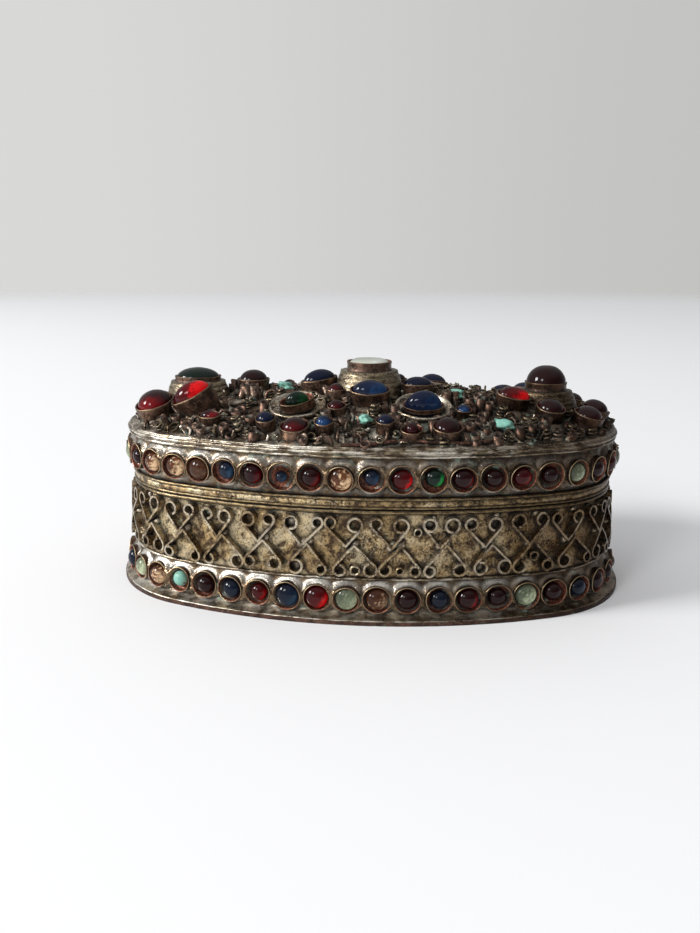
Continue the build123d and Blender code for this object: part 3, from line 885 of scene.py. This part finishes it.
def poured(name, points, faces, outs, feet, climb, reach, ripple, rippleSize, seed, material):
    # a skin that the solder tree swells along each point's own direction
    made = meshObject(name + "Start", points, faces)
    layer = made.data.attributes.new("out", "FLOAT_VECTOR", "POINT")
    for index, value in enumerate(outs):
        layer.data[index].vector = value
    return grown(name, made, solderNodes, {
        "Feet": feet, "Climb": climb * mm, "Reach": reach * mm, "Ripple": ripple * mm,
        "Ripple size": rippleSize * mm, "Seed": seed, "Material": material})


def skin(name, section, feet, climb, reach, ripple, rippleSize, seed, material, step, body, slot):
    # section runs over the outside as (inset, height, how far it may swell), then back behind the wall
    count, wide = round(roundLength(3) / step), len(section)
    points, faces, outs = [], [], []
    for column in range(count):
        after = (column + 1) % count
        for row, (inset, height, swell, *lift) in enumerate(section):
            x, y, angle = alongOval(column / count * roundLength(inset), inset)
            points.append((x, y, height))
            outs.append((swell * math.cos(angle), swell * math.sin(angle), lift[0] if lift else 0))
            up = (row + 1) % wide
            faces.append((column * wide + row, after * wide + row, after * wide + up, column * wide + up))
    made = poured(name, points, faces, outs, feet, climb, reach, ripple, rippleSize, seed, material)
    settle(made, body, slot)


def bandSection(first, last, inset, steps=22, sink=0.5):
    courses = []
    for step in range(steps + 1):
        height = first + (last - first) * step / steps
        courses.append((inset(height), height, min(1, 3.0 * min(step, steps - step) / steps)))
    return courses + [(inset(last) + sink, last, 0), (inset(first) + sink, first, 0)]


pools = {
    # first and last height, how the inset follows the height, ripple and seed
    "foot": (1.0, 9.8, lambda height: wallInset(height) - 0.12, 0.28, 5),
    "lid": (28.9, 38.4, lambda height: 4.58, 0.26, 6),
}
for row, (first, last, inset, ripple, seed) in pools.items():
    feet = footRings(row + "RowFeet", rowFeet[row], 1.03)
    skin(row + "_row_solder", bandSection(first, last, inset), feet, 2.1, 0.85, ripple, 1.7, seed, pooledSolderPaintedLightAndShade,
         0.42, rows[row]["body"], "bezel_metal")
plateSection = [(0.1, 0.92), (0.6, 1.05), (1.4, 1.2), (2.2, 1.6), (2.9, 2.2), (3.3, 3.0), (3.5, 0.9)]
ring("plate_edge_solder", plateSection, plateSolder, 0.16, 2.4, 14, "base", "copper_plate")
print("solder done")


# Filigree on the wall

filigree = {"copies": 30, "start": -2.1, "apex": 17.95, "ends": {1: 24.75, -1: 11.15}, "angle": {1: 49, -1: 47},
            "curl": 1.4, "thickness": 0.5, "depth": 2.2, "sink": 0.3, "shift": 0.35, "offset": 0.75,
            "wobble": 0.26, "lumps": 0.2, "filled": 0.3, "spare": 60, "spareHeights": (12.2, 14.6, 21.2, 23.6)}
stripPick = random.Random(4)
stripMarks = []  # middles of the curls and the bends: along the wall, height and the curl's radius


def stripRun(apexAt, side):
    # one bent strip with a curl rolled into the V at each end
    base = filigree["apex"] - side * stripPick.uniform(0.1, 0.5)
    reach = abs(filigree["ends"][side] - base) * stripPick.uniform(0.94, 1.02)
    out = filigree["depth"] / 2 - filigree["sink"]
    halves = []
    for way in (-1, 1):
        curl = filigree["curl"] * stripPick.uniform(0.86, 1.2)
        lean = math.radians(filigree["angle"][side] + stripPick.uniform(-4, 4))
        # middle of the curl, on the inner side of the leg
        leg = (reach - curl - curl * math.cos(lean)) / math.sin(lean)
        middle = (leg * math.cos(lean) - curl * math.sin(lean), leg * math.sin(lean) + curl * math.cos(lean))
        half = [(leg * share * math.cos(lean), leg * share * math.sin(lean))
                for share in (0.0, 0.08, 0.4, 0.75, 1.0)]
        turns = math.radians(stripPick.uniform(285, 345))
        for step in range(1, 15):
            turn = lean - math.pi / 2 + turns * step / 14
            shrink = curl * (1 - 0.1 * step / 14)
            half.append((middle[0] + shrink * math.cos(turn), middle[1] + shrink * math.sin(turn)))
        halves.append([(apexAt + way * x, base + side * y, out) for x, y in half])
        stripMarks.append((apexAt + way * middle[0], base + side * middle[1], curl))
    stripMarks.append((apexAt, base, 0))
    return halves[0][::-1] + halves[1][1:]


wallLength = roundLength(wallPlan["inset"])
stripStart = filigree["start"] * wallLength / roundLength(wallInset(filigree["apex"]))
for name, side in (("upper_scroll", 1), ("lower_scroll", -1)):
    runs = []
    for index in range(filigree["copies"]):
        off = stripPick.uniform(-filigree["shift"], filigree["shift"])
        along = stripStart + index * (wallLength / filigree["copies"]) + off - side * filigree["offset"]
        runs.append(stripRun(along, side))
    made = grown(name + "_strips", runMesh(name + "Runs", runs), stripNodes, {
        "Path": ovalAtWall, "Depth": filigree["depth"] * mm, "Thickness": filigree["thickness"] * mm,
        "Wall foot": wallPlan["foot"] * mm, "Lean": wallPlan["lean"] / wallPlan["rise"],
        "Wobble": filigree["wobble"] * mm, "Seed": 8 + side, "Material": stripBrass})
    settle(made, "base", "scroll_strip", name + "s")


def wallSpot(along, height, proud):
    # a place on the wall, with along measured at its foot as the strips are
    x, y, angle = alongOval(along, wallPlan["inset"])
    out = Vector((math.cos(angle), math.sin(angle), 0))
    inward = wallInset(height) - wallPlan["inset"] - proud
    return Vector((x, y, height)) - out * inward, frameOf(out, Vector((-out.y, out.x, 0)))


# solder run into the crossings and over some curls
lumps = []
for along, height, curl in stripMarks:
    if curl and stripPick.random() > filigree["lumps"]:
        continue
    off = curl * 0.9
    turn = stripPick.uniform(0, 2 * math.pi)
    spot, turned = wallSpot(along + off * math.cos(turn), height + off * math.sin(turn), 0.1)
    wide = stripPick.uniform(0.55, 0.9) * (1 if curl else 1.35)
    turned = turnedBy(turned, stripPick.uniform(0.6, 1.1))
    lumps.append((spot, turned, (wide * 1.35, wide, filigree["depth"] * stripPick.uniform(0.35, 0.6)), 0.5))
for along, height, curl in stripMarks:
    if curl and stripPick.random() < filigree["filled"]:
        wide = curl * stripPick.uniform(0.8, 0.95)
        lumps.append((*wallSpot(along, height, 0.0), (wide, wide, stripPick.uniform(0.45, 1.1)), 0.5))
made = placed("strip_solder_lumps", dome("lumpUnit", 2.0, 12, 4), lumps, solder, 0.3, 1.3, 12)
settle(made, "base", "scroll_strip")

# rings that have been set between the curls
spares = []
for index in range(filigree["spare"]):
    along = wallLength * (index + stripPick.uniform(0.1, 0.9)) / filigree["spare"]
    high = stripPick.choice(filigree["spareHeights"])
    wide = stripPick.uniform(1.0, 1.3)
    if min(math.hypot(along - x, high - y) - curl - wide for x, y, curl in stripMarks) > 0.1:
        spares.append((*wallSpot(along, high, -0.2), (wide, wide, filigree["depth"] * 0.8), 0.5))
spareUnit = lathe("spareUnit", [(0.98, 0.0), (1.0, 1.0), (0.68, 1.0), (0.66, 0.1)], 14)
settle(placed("spare_wall_rings", spareUnit, spares, stripBrass, 0.2, 2.0, 13), "base", "scroll_strip")
print("filigree done")


# Cups, stones and collars on the crown

crownLook = {"stand": 0.3, "sink": 0.7, "lip": 0.3, "fill": 0.9, "stoneRise": 1.9, "stoneSink": 0.45,
             "stoneTilt": 3, "low": -0.5, "lowRise": 1.35}
crownPick = random.Random(23)
crownFeet = []
stoneSpots = {"garnet": [], "red": [], "blue": [], "green": []}
crownNotes = {
    # by cup: size, how lit, lift, turn and tilt in degrees, then the stone's colour and the share of the cup it
    # fills where they aren't the usual ones
    "large_cups": {3: (1.2, 0.1, 0.2, 0, 0), 5: (1.42, 0.55, 1.1, 0, 9), 6: (0.97, 0.35, 0, 0, 0),
                   7: (0.97, 0.1, 0, 0, 0), 8: (1.0, 0.0, 0.4, 0, 0), 9: (1.05, 0.2, 0.3, 0, 0),
                   10: (1.05, 0.1, 0.5, 0, 0)},
    "small_cups": {3: (1.05, 0.35, 0.7, 0, 0, "blue"), 4: (1.1, 0.3, 0.3, 0, 0), 5: (1.0, 0.3, 0, 0, 0),
                   6: (1.0, 0.9, 0.8, 0, 0, "blue"), 7: (1.0, 0.0, 0.9, 0, 0, "blue"),
                   8: (1.15, 0.2, 0, 0, 0, "garnet", 0.66), 9: (0.85, 1.0, -0.4, 0, 0, "blue")},
    "long_cups": {1: (1.12, 0.1, 0.7, 12, -8, "blue"), 2: (1.28, 0.95, 1.7, 47, -15, "red"),
                  3: (0.66, 0.6, -0.2, 0, 0, "garnet"), 4: (1.12, 0.85, 0.6, 0, 0, "blue"),
                  5: (1.0, 1.0, 0.3, -14, 6, "red"), 6: (1.0, 0.0, 0.2, 0, 0, "blue")},
    "dish_cups": {0: (1.0, 0.0, 0.2, 0, 0, "garnet"), 1: (1.0, 0.3, 0.2, 24, -6, "green", 0.68),
                  2: (1.16, 0.6, -0.7, 0, 0, "blue"), 3: (1.0, 0.0, 0.3, 0, 0, "blue"),
                  4: (1.0, 0.1, 0.2, 0, 0, "garnet"), 5: (1.0, 0.0, 0.2, 0, 0, "blue")},
}


def heightOf(solid):
    return (solid["top"] - solid["foot"]).dot(solid["axis"])


def cupsAndStones(cups, name, colour, narrowing=1.0, rise=1.0, slot="cup_metal"):
    spots = []
    for index, solid in enumerate(solidsOf(cups)):
        note = crownNotes[cups].get(index, (
            crownPick.uniform(0.92, 1.04), crownPick.random() * 0.4, crownPick.uniform(-0.3, 0.4),
            crownPick.uniform(-8, 8), crownPick.uniform(-4, 4)))
        grow, tone, lift, turn, tilt, own, fill = note + (colour, crownLook["fill"])[len(note) - 5:]
        wide, narrow = grow * solid["reach"], grow * (solid["reach"] * narrowing)
        high = heightOf(solid) + lift
        turned = frameOf(solid["axis"], solid["long"] if solid["long"].x > 0 else -solid["long"])
        turned = turnedBy(turnedBy(turned, math.radians(turn)), math.radians(tilt), "Y")
        axis = turned @ alongZ
        # a tilted cup sinks into the sheet, so that its raised side still stands on it
        sink = min(crownLook["stand"] + wide * abs(math.sin(math.radians(tilt))), crownLook["sink"])
        spots.append((solid["foot"] - axis * sink, turned, (wide, narrow, high + sink + crownLook["lip"]), 0.5))
        solid["across"] = (wide, narrow)
        crownFeet.append(solid)
        swell = crownLook["lowRise"] if lift < crownLook["low"] else 1.0
        size = (wide * fill, narrow * fill * 0.98,
                crownLook["stoneRise"] * rise * grow * swell * crownPick.uniform(0.95, 1.1))
        place = solid["foot"] + axis * (high - crownLook["stoneSink"])
        stoneSpots[own].append((place, jitter(turned, crownLook["stoneTilt"], crownPick), size, tone))
    settle(placed(name, cupUnit, spots, crownCopper, 0.24, 2.4, 41), "lid", slot, cups)


ovalCup = 5.6 / 8.6  # an oval cup's width over its length
cupsAndStones("large_cups", "large_round_cups", "garnet", rise=1.25)
cupsAndStones("small_cups", "small_round_cups", "garnet")
cupsAndStones("long_cups", "long_oval_cups", "blue", ovalCup, 1.3)

dish = {"reach": 6.9, "sink": 0.2, "lip": 0.6, "foot": 5.6, "section": [
    (0.0, 0.0), (0.62, 0.0), (0.72, 0.25), (0.9, 0.62), (0.97, 0.72), (1.0, 0.85), (1.0, 1.0), (0.97, 1.12),
    (0.93, 1.08), (0.9, 0.9), (0.84, 0.7), (0.7, 0.5), (0.5, 0.44), (0.0, 0.44)]}
spots = []
for solid in solidsOf("lid_dishes"):
    size = (dish["reach"], dish["reach"], heightOf(solid) + dish["lip"])
    turned = frameOf(solid["axis"], solid["long"])
    spots.append((solid["foot"] - solid["axis"] * dish["sink"], turned, size, 0.5))
    crownFeet.append({**solid, "across": (dish["foot"], dish["foot"])})
dishUnit = lathe("dishUnit", dish["section"], 32)
settle(placed("dished_discs", dishUnit, spots, dishMetal, 0.28, 2.6, 42), "lid", "dish_metal", "lid_dishes")
cupsAndStones("dish_cups", "disc_oval_cups", "green", ovalCup, 1.5, "bezel_metal")
crownFeet = crownFeet[:-4]

collars = {
    # rim, wide and rise are those of the bezel on top
    "centre": {"x": 0.0, "foot": 45.2, "top": 53.25, "low": 9.0, "high": 5.95, "flare": 0.42,
               "rim": 5.65, "wide": 1.0, "rise": 2.5},
    "left": {"x": -44.32, "foot": 42.4, "top": 49.9, "low": 8.6, "high": 6.0, "flare": 0.5,
             "rim": 5.95, "wide": 0.82, "rise": 1.5},
    "right": {"x": 44.32, "foot": 42.4, "top": 48.9, "low": 8.4, "high": 5.35, "flare": 0.5,
              "rim": 5.15, "wide": 1.0, "rise": 2.3},
}
collarSteps = 6
collarParts, bezelParts = [], []
for index, (name, collar) in enumerate(collars.items()):
    section = [(0.0, collar["foot"])]
    for step in range(collarSteps):
        low, high = step / collarSteps, (step + 1) / collarSteps
        radius = collar["high"] + (collar["low"] - collar["high"]) * (1 - low) ** collar["flare"]
        foot, top = (collar["foot"] + (collar["top"] - collar["foot"]) * share for share in (low, high))
        section += [(radius + 0.05, foot), (radius + 0.16, foot + 0.3), (radius + 0.02, foot + 0.55),
                    (radius - 0.12, top - 0.1)]
    section.append((0.0, collar["top"]))
    place = (collar["x"], 0, 0)
    sleeve = lathe(name + "Turned", section, 40)
    spots = [(place, unturned, (1, 1, 1), 0.5)]
    collarParts.append(placed(name + "_collar", sleeve, spots, collarBrass, 0.14, 2.4, 50 + index))
    rim = [(r * collar["rim"], collar["top"] - 0.3 + z * collar["rise"]) for r, z in cupSection]
    cup = lathe(name + "Cup", rim, 32)
    spots = [(place, unturned, (1, collar["wide"], 1), 0.5)]
    bezelParts.append(placed(name + "_bezel", cup, spots, crownCopper, 0.14, 2.5, 60 + index))
    foot = Vector((collar["x"], 0, crownHeight(collar["x"], 0)))
    crownFeet.append({"foot": foot, "axis": alongZ, "long": alongX, "reach": collar["low"]})
settle(joined("stepped_collars", collarParts), "lid", "collar_metal", "lid_collars")
settle(joined("collar_rims", bezelParts), "lid", "bezel_metal", "collar_bezels")
collarStones = {
    # place, size, how lit, unit, glass, depth and size of the wobble, seed and the node it replaces
    "milky_centre_stone": ((0, 0, 54.9), (5.15, 5.15, 1.25), 0.6, flatStoneUnit,
                           "white", 0.3, 3.4, 71, "white_stone"),
    "green_oval_stone": ((-44.32, 0, 50.5), (5.6, 4.6, 2.7), 0.12, stoneUnit,
                         "green", 0.1, 4.0, 72, "green_stone"),
    "tall_dome_stone": ((44.32, 0, 50.2), (4.95, 4.95, 4.7), 0.0, dome("tallStoneUnit", 2.3, 30, 10),
                        "garnet", 0.1, 4.0, 73, "dome_stone"),
}
for name, (place, size, tone, unit, colour, wobble, wobbleSize, seed, stoneNode) in collarStones.items():
    made = placed(name, unit, [(place, unturned, size, tone)], stones[colour], wobble, wobbleSize, seed)
    settle(made, "lid", "glass_" + colour, stoneNode)

stoneNodes = {"garnet": ("large_stones", "small_stones"), "red": ("long_stones",), "green": ("dish_stones",)}
for colour, spots in stoneSpots.items():
    material = stones["navy" if colour == "blue" else colour]
    made = placed("crown_%s_cabochons" % colour, stoneUnit, spots, material, 0.08, 2.5, 80)
    settle(made, "lid", "glass_" + colour, *stoneNodes.get(colour, ()))
print("cups and stones done")


# Small wire work between them

def spiral(turns, start, end, height, steps):
    run = []
    for i in range(round(turns * steps) + 1):
        share = i / round(turns * steps)
        radius, angle = start + (end - start) * share, 2 * math.pi * i / steps
        run.append((radius * math.cos(angle), radius * math.sin(angle), height * share))
    return run


def ragged(turn, row):
    # the torn top of a tube
    return 0.3 * noise.noise(Vector((turn * 0.9, 0.5, 7))) if row in (3, 4) else 0.0


tubeSection = [(0.0, -0.2), (1.15, -0.2), (1.02, 0.1), (1.0, 1.0), (0.72, 1.0), (0.7, 0.45), (0.0, 0.42)]
archRun = [(-0.9, 0, -0.3), (-0.95, 0, 0.6), (-0.7, 0.05, 1.25), (0, 0.1, 1.6), (0.7, 0.05, 1.25),
           (0.95, 0, 0.6), (0.9, 0, -0.3)]
twigRun = [(0, 0, -0.4), (0.1, 0.0, 0.6), (0.35, 0.15, 1.3), (0.1, 0.4, 1.8)]
units = {
    "tube": lathe("tubeUnit", tubeSection, 10, ragged),
    "coil": helper(wire("coilUnit", spiral(3.2, 0.62, 0.62, 1.7, 7), 0.2, 4)),
    "cone": helper(wire("coneUnit", spiral(4.2, 1.15, 0.25, 1.9, 8), 0.26, 5)),
    "snail": helper(wire("snailUnit", spiral(2.1, 1.15, 0.35, 0.15, 8), 0.24, 4)),
    "arch": helper(wire("archUnit", archRun, 0.25, 5)),
    "twig": helper(wire("twigUnit", twigRun, 0.24, 5)),
    "hoop": helper(wire("hoopUnit", [(1.25 * c, 1.25 * s, 0.1) for c, s in circle(14)], 0.26, 5, closed=True)),
    "grain": ball("grainUnit", 1),
}


def blocked(x, y, gap):
    for solid in crownFeet:
        wide, narrow = acrossOf(solid)
        offset = Vector((x, y, 0)) - Vector((solid["foot"].x, solid["foot"].y, 0))
        along = Vector((solid["long"].x, solid["long"].y, 0)).normalized()
        if (offset.dot(along) / (wide + gap)) ** 2 + (offset.cross(along).z / (narrow + gap)) ** 2 < 1:
            return True
    return False


def onCrown(x, y, lift=0.0):
    # a place on the crown, and the frame of what stands upright there
    return Vector((x, y, crownHeight(x, y) + lift)), frameOf(crownAxis(x, y), alongX)


scatter = {"tries": 9000, "spacing": 2.05, "gap": 0.2, "nearEdge": 5.4, "deep": 25, "middle": 29.5, "tilt": 16,
           "tube": ((0.85, 1.4), (1.6, 3.8)), "wire": ((1.05, 1.7), (1.1, 1.9)), "grains": 4,
           "grain": (0.4, 0.75), "kinds": {"tube": 0.3, "coil": 0.2, "snail": 0.08, "arch": 0.1, "twig": 0.08,
                                           "hoop": 0.1, "grain": 0.14}}
ownSolids = (("lid_posts", "tube", (1.15, 1.15, 3.6)), ("lid_cones", "cone", (1.6, 1.6, 1.65)))
hoopSpots = ((38.6, -19.5), (48.3, -17.6), (27.7, -23.0), (25.5, -28.5), (30.4, -27.8))
coilSpots = ((19.6, -4.6, -0.15), (24.9, -4.0, 0.15), (-9.5, -31.2, 0.0))
ownSpots = (
    # those that stand out at the front left: kind, place, size, lift and turn
    ("arch", -8.1, -31.6, (1.75, 1.75, 1.9), 0.6, 0.1), ("twig", -40.1, -24.4, (1.6, 1.6, 1.5), 0.5, 0.4),
    ("twig", -37.5, -25.3, (1.5, 1.5, 1.8), 0.5, 2.1), ("snail", -35.7, -25.1, (1.3, 1.3, 2.0), 1.0, 1.0),
    ("twig", -33.4, -25.8, (1.7, 1.7, 1.9), 0.5, 4.0), ("arch", -31.2, -26.1, (1.2, 1.2, 1.7), 0.4, 1.2),
    ("twig", -29.6, -26.8, (1.3, 1.3, 1.3), 0.4, 5.0), ("coil", -28.1, -25.2, (1.5, 1.5, 2.4), 0.3, 0.0),
    ("coil", -25.9, -26.2, (1.2, 1.2, 1.6), 0.2, 0.5))
looseSpots = {kind: [] for kind in units}


def loose(kind, spot, turned, size):
    looseSpots[kind].append((spot, turned, size, 0.5))


for solidNode, kind, size in ownSolids:
    for solid in solidsOf(solidNode):
        spot, turned = onCrown(solid["foot"].x, solid["foot"].y)
        loose(kind, spot, jitter(turned, 8, crownPick), size)
        crownFeet.append({"foot": spot, "axis": turned.col[2].copy(), "long": alongX, "reach": size[0]})
taken = []
for _ in range(scatter["tries"]):
    along = crownPick.uniform(0, roundLength(5))
    depth = scatter["nearEdge"] + scatter["deep"] * crownPick.random() ** 1.25
    x, y, _ = alongOval(along, min(depth, scatter["middle"]))
    if depth > scatter["middle"]:
        x, y = x * crownPick.uniform(0.2, 1), y * crownPick.uniform(0, 1)
    crowded = any(abs(x - a) < 4 and math.hypot(x - a, y - b) < scatter["spacing"] for a, b in taken)
    if crowded or blocked(x, y, scatter["gap"]):
        continue
    taken.append((x, y))
    spot, turned = onCrown(x, y)
    turned = jitter(turnedBy(turned, crownPick.uniform(0, 6.28)), scatter["tilt"], crownPick)
    kind = crownPick.choices(list(scatter["kinds"]), list(scatter["kinds"].values()))[0]
    if kind == "grain":
        for _ in range(scatter["grains"]):
            grain = crownPick.uniform(*scatter["grain"])
            shift = (crownPick.uniform(-0.8, 0.8), crownPick.uniform(-0.8, 0.8), crownPick.uniform(0.1, 1.0))
            loose(kind, spot + turned @ Vector(shift), turned, (grain,) * 3)
    else:
        across, high = scatter["tube" if kind == "tube" else "wire"]
        loose(kind, spot, turned, (crownPick.uniform(*across),) * 2 + (crownPick.uniform(*high),))
for x, y in hoopSpots:
    spot, turned = onCrown(x, y)
    loose("hoop", spot + crownAxis(x, y) * 0.5, jitter(turned, 6, crownPick), (2.0, 2.0, 1.6))
    loose("tube", spot, jitter(turned, 8, crownPick), (1.0, 1.0, 2.6))
for x, y, lean in coilSpots:
    loose("coil", onCrown(x, y, -0.2)[0], turnedBy(unturned, lean, "Y"), (1.7, 1.7, 2.0))
for kind, x, y, size, lift, turn in ownSpots:
    spot, turned = onCrown(x, y, lift)
    loose(kind, spot, jitter(turnedBy(turned, turn), 5, crownPick), size)
print("loose ornaments", {kind: len(found) for kind, found in looseSpots.items()})
looseNodes = {"tube": "lid_posts", "cone": "lid_cones"}
looseMetal = {"tube": postCopper, "arch": postCopper, "hoop": collarBrass, "coil": collarBrass,
              "twig": flangeMetal}
for kind, spots in looseSpots.items():
    made = placed("crown_%ss" % kind, units[kind], spots, looseMetal.get(kind, crownBrass), 0.28, 1.6, 90)
    if kind in looseNodes:
        settle(made, "lid", "post_metal", looseNodes[kind])
    else:
        settle(made, "lid", "crown_sheet")

spots = []
for solid in solidsOf("lid_chips"):
    middle = (solid["top"] + solid["foot"]) / 2 + Vector((0, 0, 0.8))
    turned = jitter(turnedBy(unturned, crownPick.uniform(0, 3)), 30, crownPick)
    spots.append((middle, turned, (2.2, 1.4, 1.0), 0.5))
made = placed("turquoise_chips", ball("chipUnit", 3, 0.8), spots, stones["turquoise"], 0.2, 1.5, 95)
settle(made, "lid", "turquoise", "lid_chips")


# Skin of the crown, flooded with solder round everything that stands on it

crownRows = [(inset, 1.0) for inset in (
    [4.72, 4.9] + [5.2 + 0.42 * step for step in range(51)] + [27.4, 28.6, 29.8])]
crownRows += [(29.8, 0.6), (29.8, 0.25), (29.8, 0.0)]  # the last ones close it towards the long axis
columns = 620
points, outs = [], []
for under in (False, True):
    for inset, keep in (reversed(crownRows) if under else crownRows):
        for column in range(columns):
            x, y, _ = alongOval(column / columns * roundLength(inset), inset)
            points.append((x, y * keep, crownHeight(x, y) - (lidPlan["sheet"] if under else 0)))
            outs.append(crownAxis(x, y) * (0 if under or inset < 5 else 1))
feet = footRings("crownFeet", crownFeet, 1.04, 16)
faces = gridFaces(2 * len(crownRows), columns, len(crownRows) - 1)
made = poured("crown_sheet_skin", points, faces, outs, feet, 1.5, 0.8, 0.32, 1.5, 12, floodedCrown)
settle(made, "lid", "crown_sheet", "lid_crown")
flood = [(3.5, 39.85, 0.3, 0), (3.6, 40.2, 0.5, 0.2), (3.9, 40.42, 0.5, 0.5), (4.3, 40.5, 0.4, 0.8),
         (4.8, 40.52, 0.2, 1), (5.3, 40.55, 0, 1), (5.8, 40.62, 0, 1), (6.3, 40.66, 0, 1), (6.8, 40.5, 0, 0.4),
         (7.0, 39.9, 0, 0), (4.0, 39.6, 0, 0)]
skin("flange_solder_flood", flood, feet, 0.9, 0.9, 0.42, 2.6, 33, flangeMetal, 0.45, "lid", "flange_wire")


# Loose wires laid round the edge of the crown

ring("crown_edge_wire", roundSection(5.9, 40.15, 0.4), solder, 0.22, 3.0, 15, "lid", "flange_wire")
crownWires = {
    # places on the crown, lift over it, radius and metal
    "copper_ribbon_wire": (
        ((-4.3, -32.4), (-1.2, -32.1), (2.0, -31.7), (6.1, -30.4), (9.9, -29.5), (13.0, -29.4), (15.2, -29.7),
         (19.6, -29.3), (24.0, -28.9), (30.8, -26.6)), 1.55, 0.5, copperEdge),
    "right_hoop_wire": (
        ((34.3, -20.6), (34.8, -23.6), (37.3, -25.6), (41.2, -25.2), (45.3, -23.0), (49.8, -19.6),
         (52.6, -16.4)), 0.5, 0.4, flangeMetal),
    "left_edge_wire": (
        ((-47.0, -20.8), (-42.5, -23.2), (-37.2, -25.4), (-31.9, -27.0), (-27.6, -28.2), (-22.3, -29.4),
         (-16.9, -30.4)), 0.4, 0.38, solder),
}


def eased(points, parts=5):
    # a run of points with a smooth curve through them
    run = []
    points = [Vector(point) for point in (points[0], *points, points[-1])]
    for before, first, second, after in zip(points, points[1:], points[2:], points[3:]):
        for part in range(parts):
            t = part / parts
            run.append(0.5 * (
                2 * first + (second - before) * t + (2 * before - 5 * first + 4 * second - after) * t ** 2
                + (3 * first - before - 3 * second + after) * t ** 3))
    return run + [points[-1]]


for name, (places, lift, radius, material) in crownWires.items():
    run = [(point.x, point.y, crownHeight(point.x, point.y) + lift) for point in eased(places)]
    settle(wire(name, run, radius, 8, material, 0.2, 3), "lid", "flange_wire")
print("crown done")


# Camera, floor and light

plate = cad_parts["base_plate"].data
plate.materials.clear()
plate.materials.append(copperEdge)

view = {"place": (0.01094, -0.20258, 0.08051), "ahead": (-0.0751, 0.9649, -0.2517), "roll": 0.212,
        "lens": 41.14}
camera = stand("camera", bpy.data.cameras.new("camera"))
camera.data.sensor_width = 36
camera.data.sensor_fit = "HORIZONTAL"
camera.data.lens = view["lens"]
camera.data.clip_start = 0.01
camera.location = view["place"]
aim = Vector(view["ahead"]).to_track_quat("-Z", "Y").to_matrix()
camera.rotation_euler = turnedBy(aim, math.radians(view["roll"])).to_euler()
bpy.context.scene.camera = camera

table = {"reach": 2300, "corners": 96, "fade": (2.25, 1.35), "nearEdge": (-1.1, -0.6),
         "colour": (0.90, 0.90, 0.905)}
corners = table["corners"]
points = [(0, 0, 0)] + [(table["reach"] * c, table["reach"] * s, 0) for c, s in circle(corners)]
floor = meshObject("table", points, [(0, 1 + i, 1 + (i + 1) % corners) for i in range(corners)])
paleTable, shader = shaderOf("paleTable")
place = put("ShaderNodeTexCoord", output="Object")
away = put("ShaderNodeVectorMath", {0: place}, "Value", operation="LENGTH")
feed(shader, {"Base Color": table["colour"], "Roughness": 0.7, "Specular IOR Level": 0.2,
              "Alpha": ramp(away, *table["fade"]) * ramp(partsOf(place)[1], *table["nearEdge"])})
floor.data.materials.append(paleTable)

room = {"left": (0.95, 0.96, 0.98), "right": (0.26, 0.26, 0.26), "above": (0.58, 0.585, 0.60),
        "aboveGloss": (0.95, 0.96, 0.97), "gloss": 0.66, "backLeft": (0.69, 0.69, 0.675),
        "backRight": (0.545, 0.545, 0.53)}
world = bpy.data.worlds.new("room")
bpy.context.scene.world = world
world.use_nodes = True
world.node_tree.nodes.clear()
trees.append(world.node_tree)
toRight, toBack, toTop = partsOf(put("ShaderNodeTexCoord", output="Generated"))
back = blend(ramp(toRight, -0.45, 0.35), room["backLeft"], room["backRight"])
roomLight = blend(ramp(toRight, -0.75, 0.45), room["left"], room["right"])
roomLight = blend(ramp(toBack, -0.1, 0.6), roomLight, blend(0.6, roomLight, back))
ray = {output.name: Term(output) for output in node("ShaderNodeLightPath").outputs}
above = blend(ray["Is Glossy Ray"], room["above"], room["aboveGloss"])
roomLight = blend(ramp(toTop, 0.35, 0.95), roomLight, above)
roomLight = blend(ray["Is Glossy Ray"], roomLight, blend(1 - room["gloss"], roomLight, (0, 0, 0)))
seen = calc("MAXIMUM", ray["Is Camera Ray"], ray["Is Transmission Ray"])
shown = put("ShaderNodeBackground", {"Color": blend(seen, roomLight, back), "Strength": 1.0})
node("ShaderNodeOutputWorld", {0: shown})

lamps = {
    "window": {"place": (-2.08, -0.62, 1.12), "size": (0.7, 0.73), "power": 50.0},
    "front": {"place": (-0.86, -1.24, 0.84), "size": (0.46, 0.46), "power": 7.0},
}
for name, lamp in lamps.items():
    light = bpy.data.lights.new(name, "AREA")
    light.shape = "ELLIPSE"
    light.size, light.size_y = lamp["size"]
    light.energy = lamp["power"]
    hung = stand(name, light)
    hung.location = lamp["place"]
    hung.rotation_euler = (Vector((0, 0, 0.03)) - Vector(lamp["place"])).to_track_quat("-Z", "Y").to_euler()

for made in helpers:
    bpy.data.objects.remove(made)
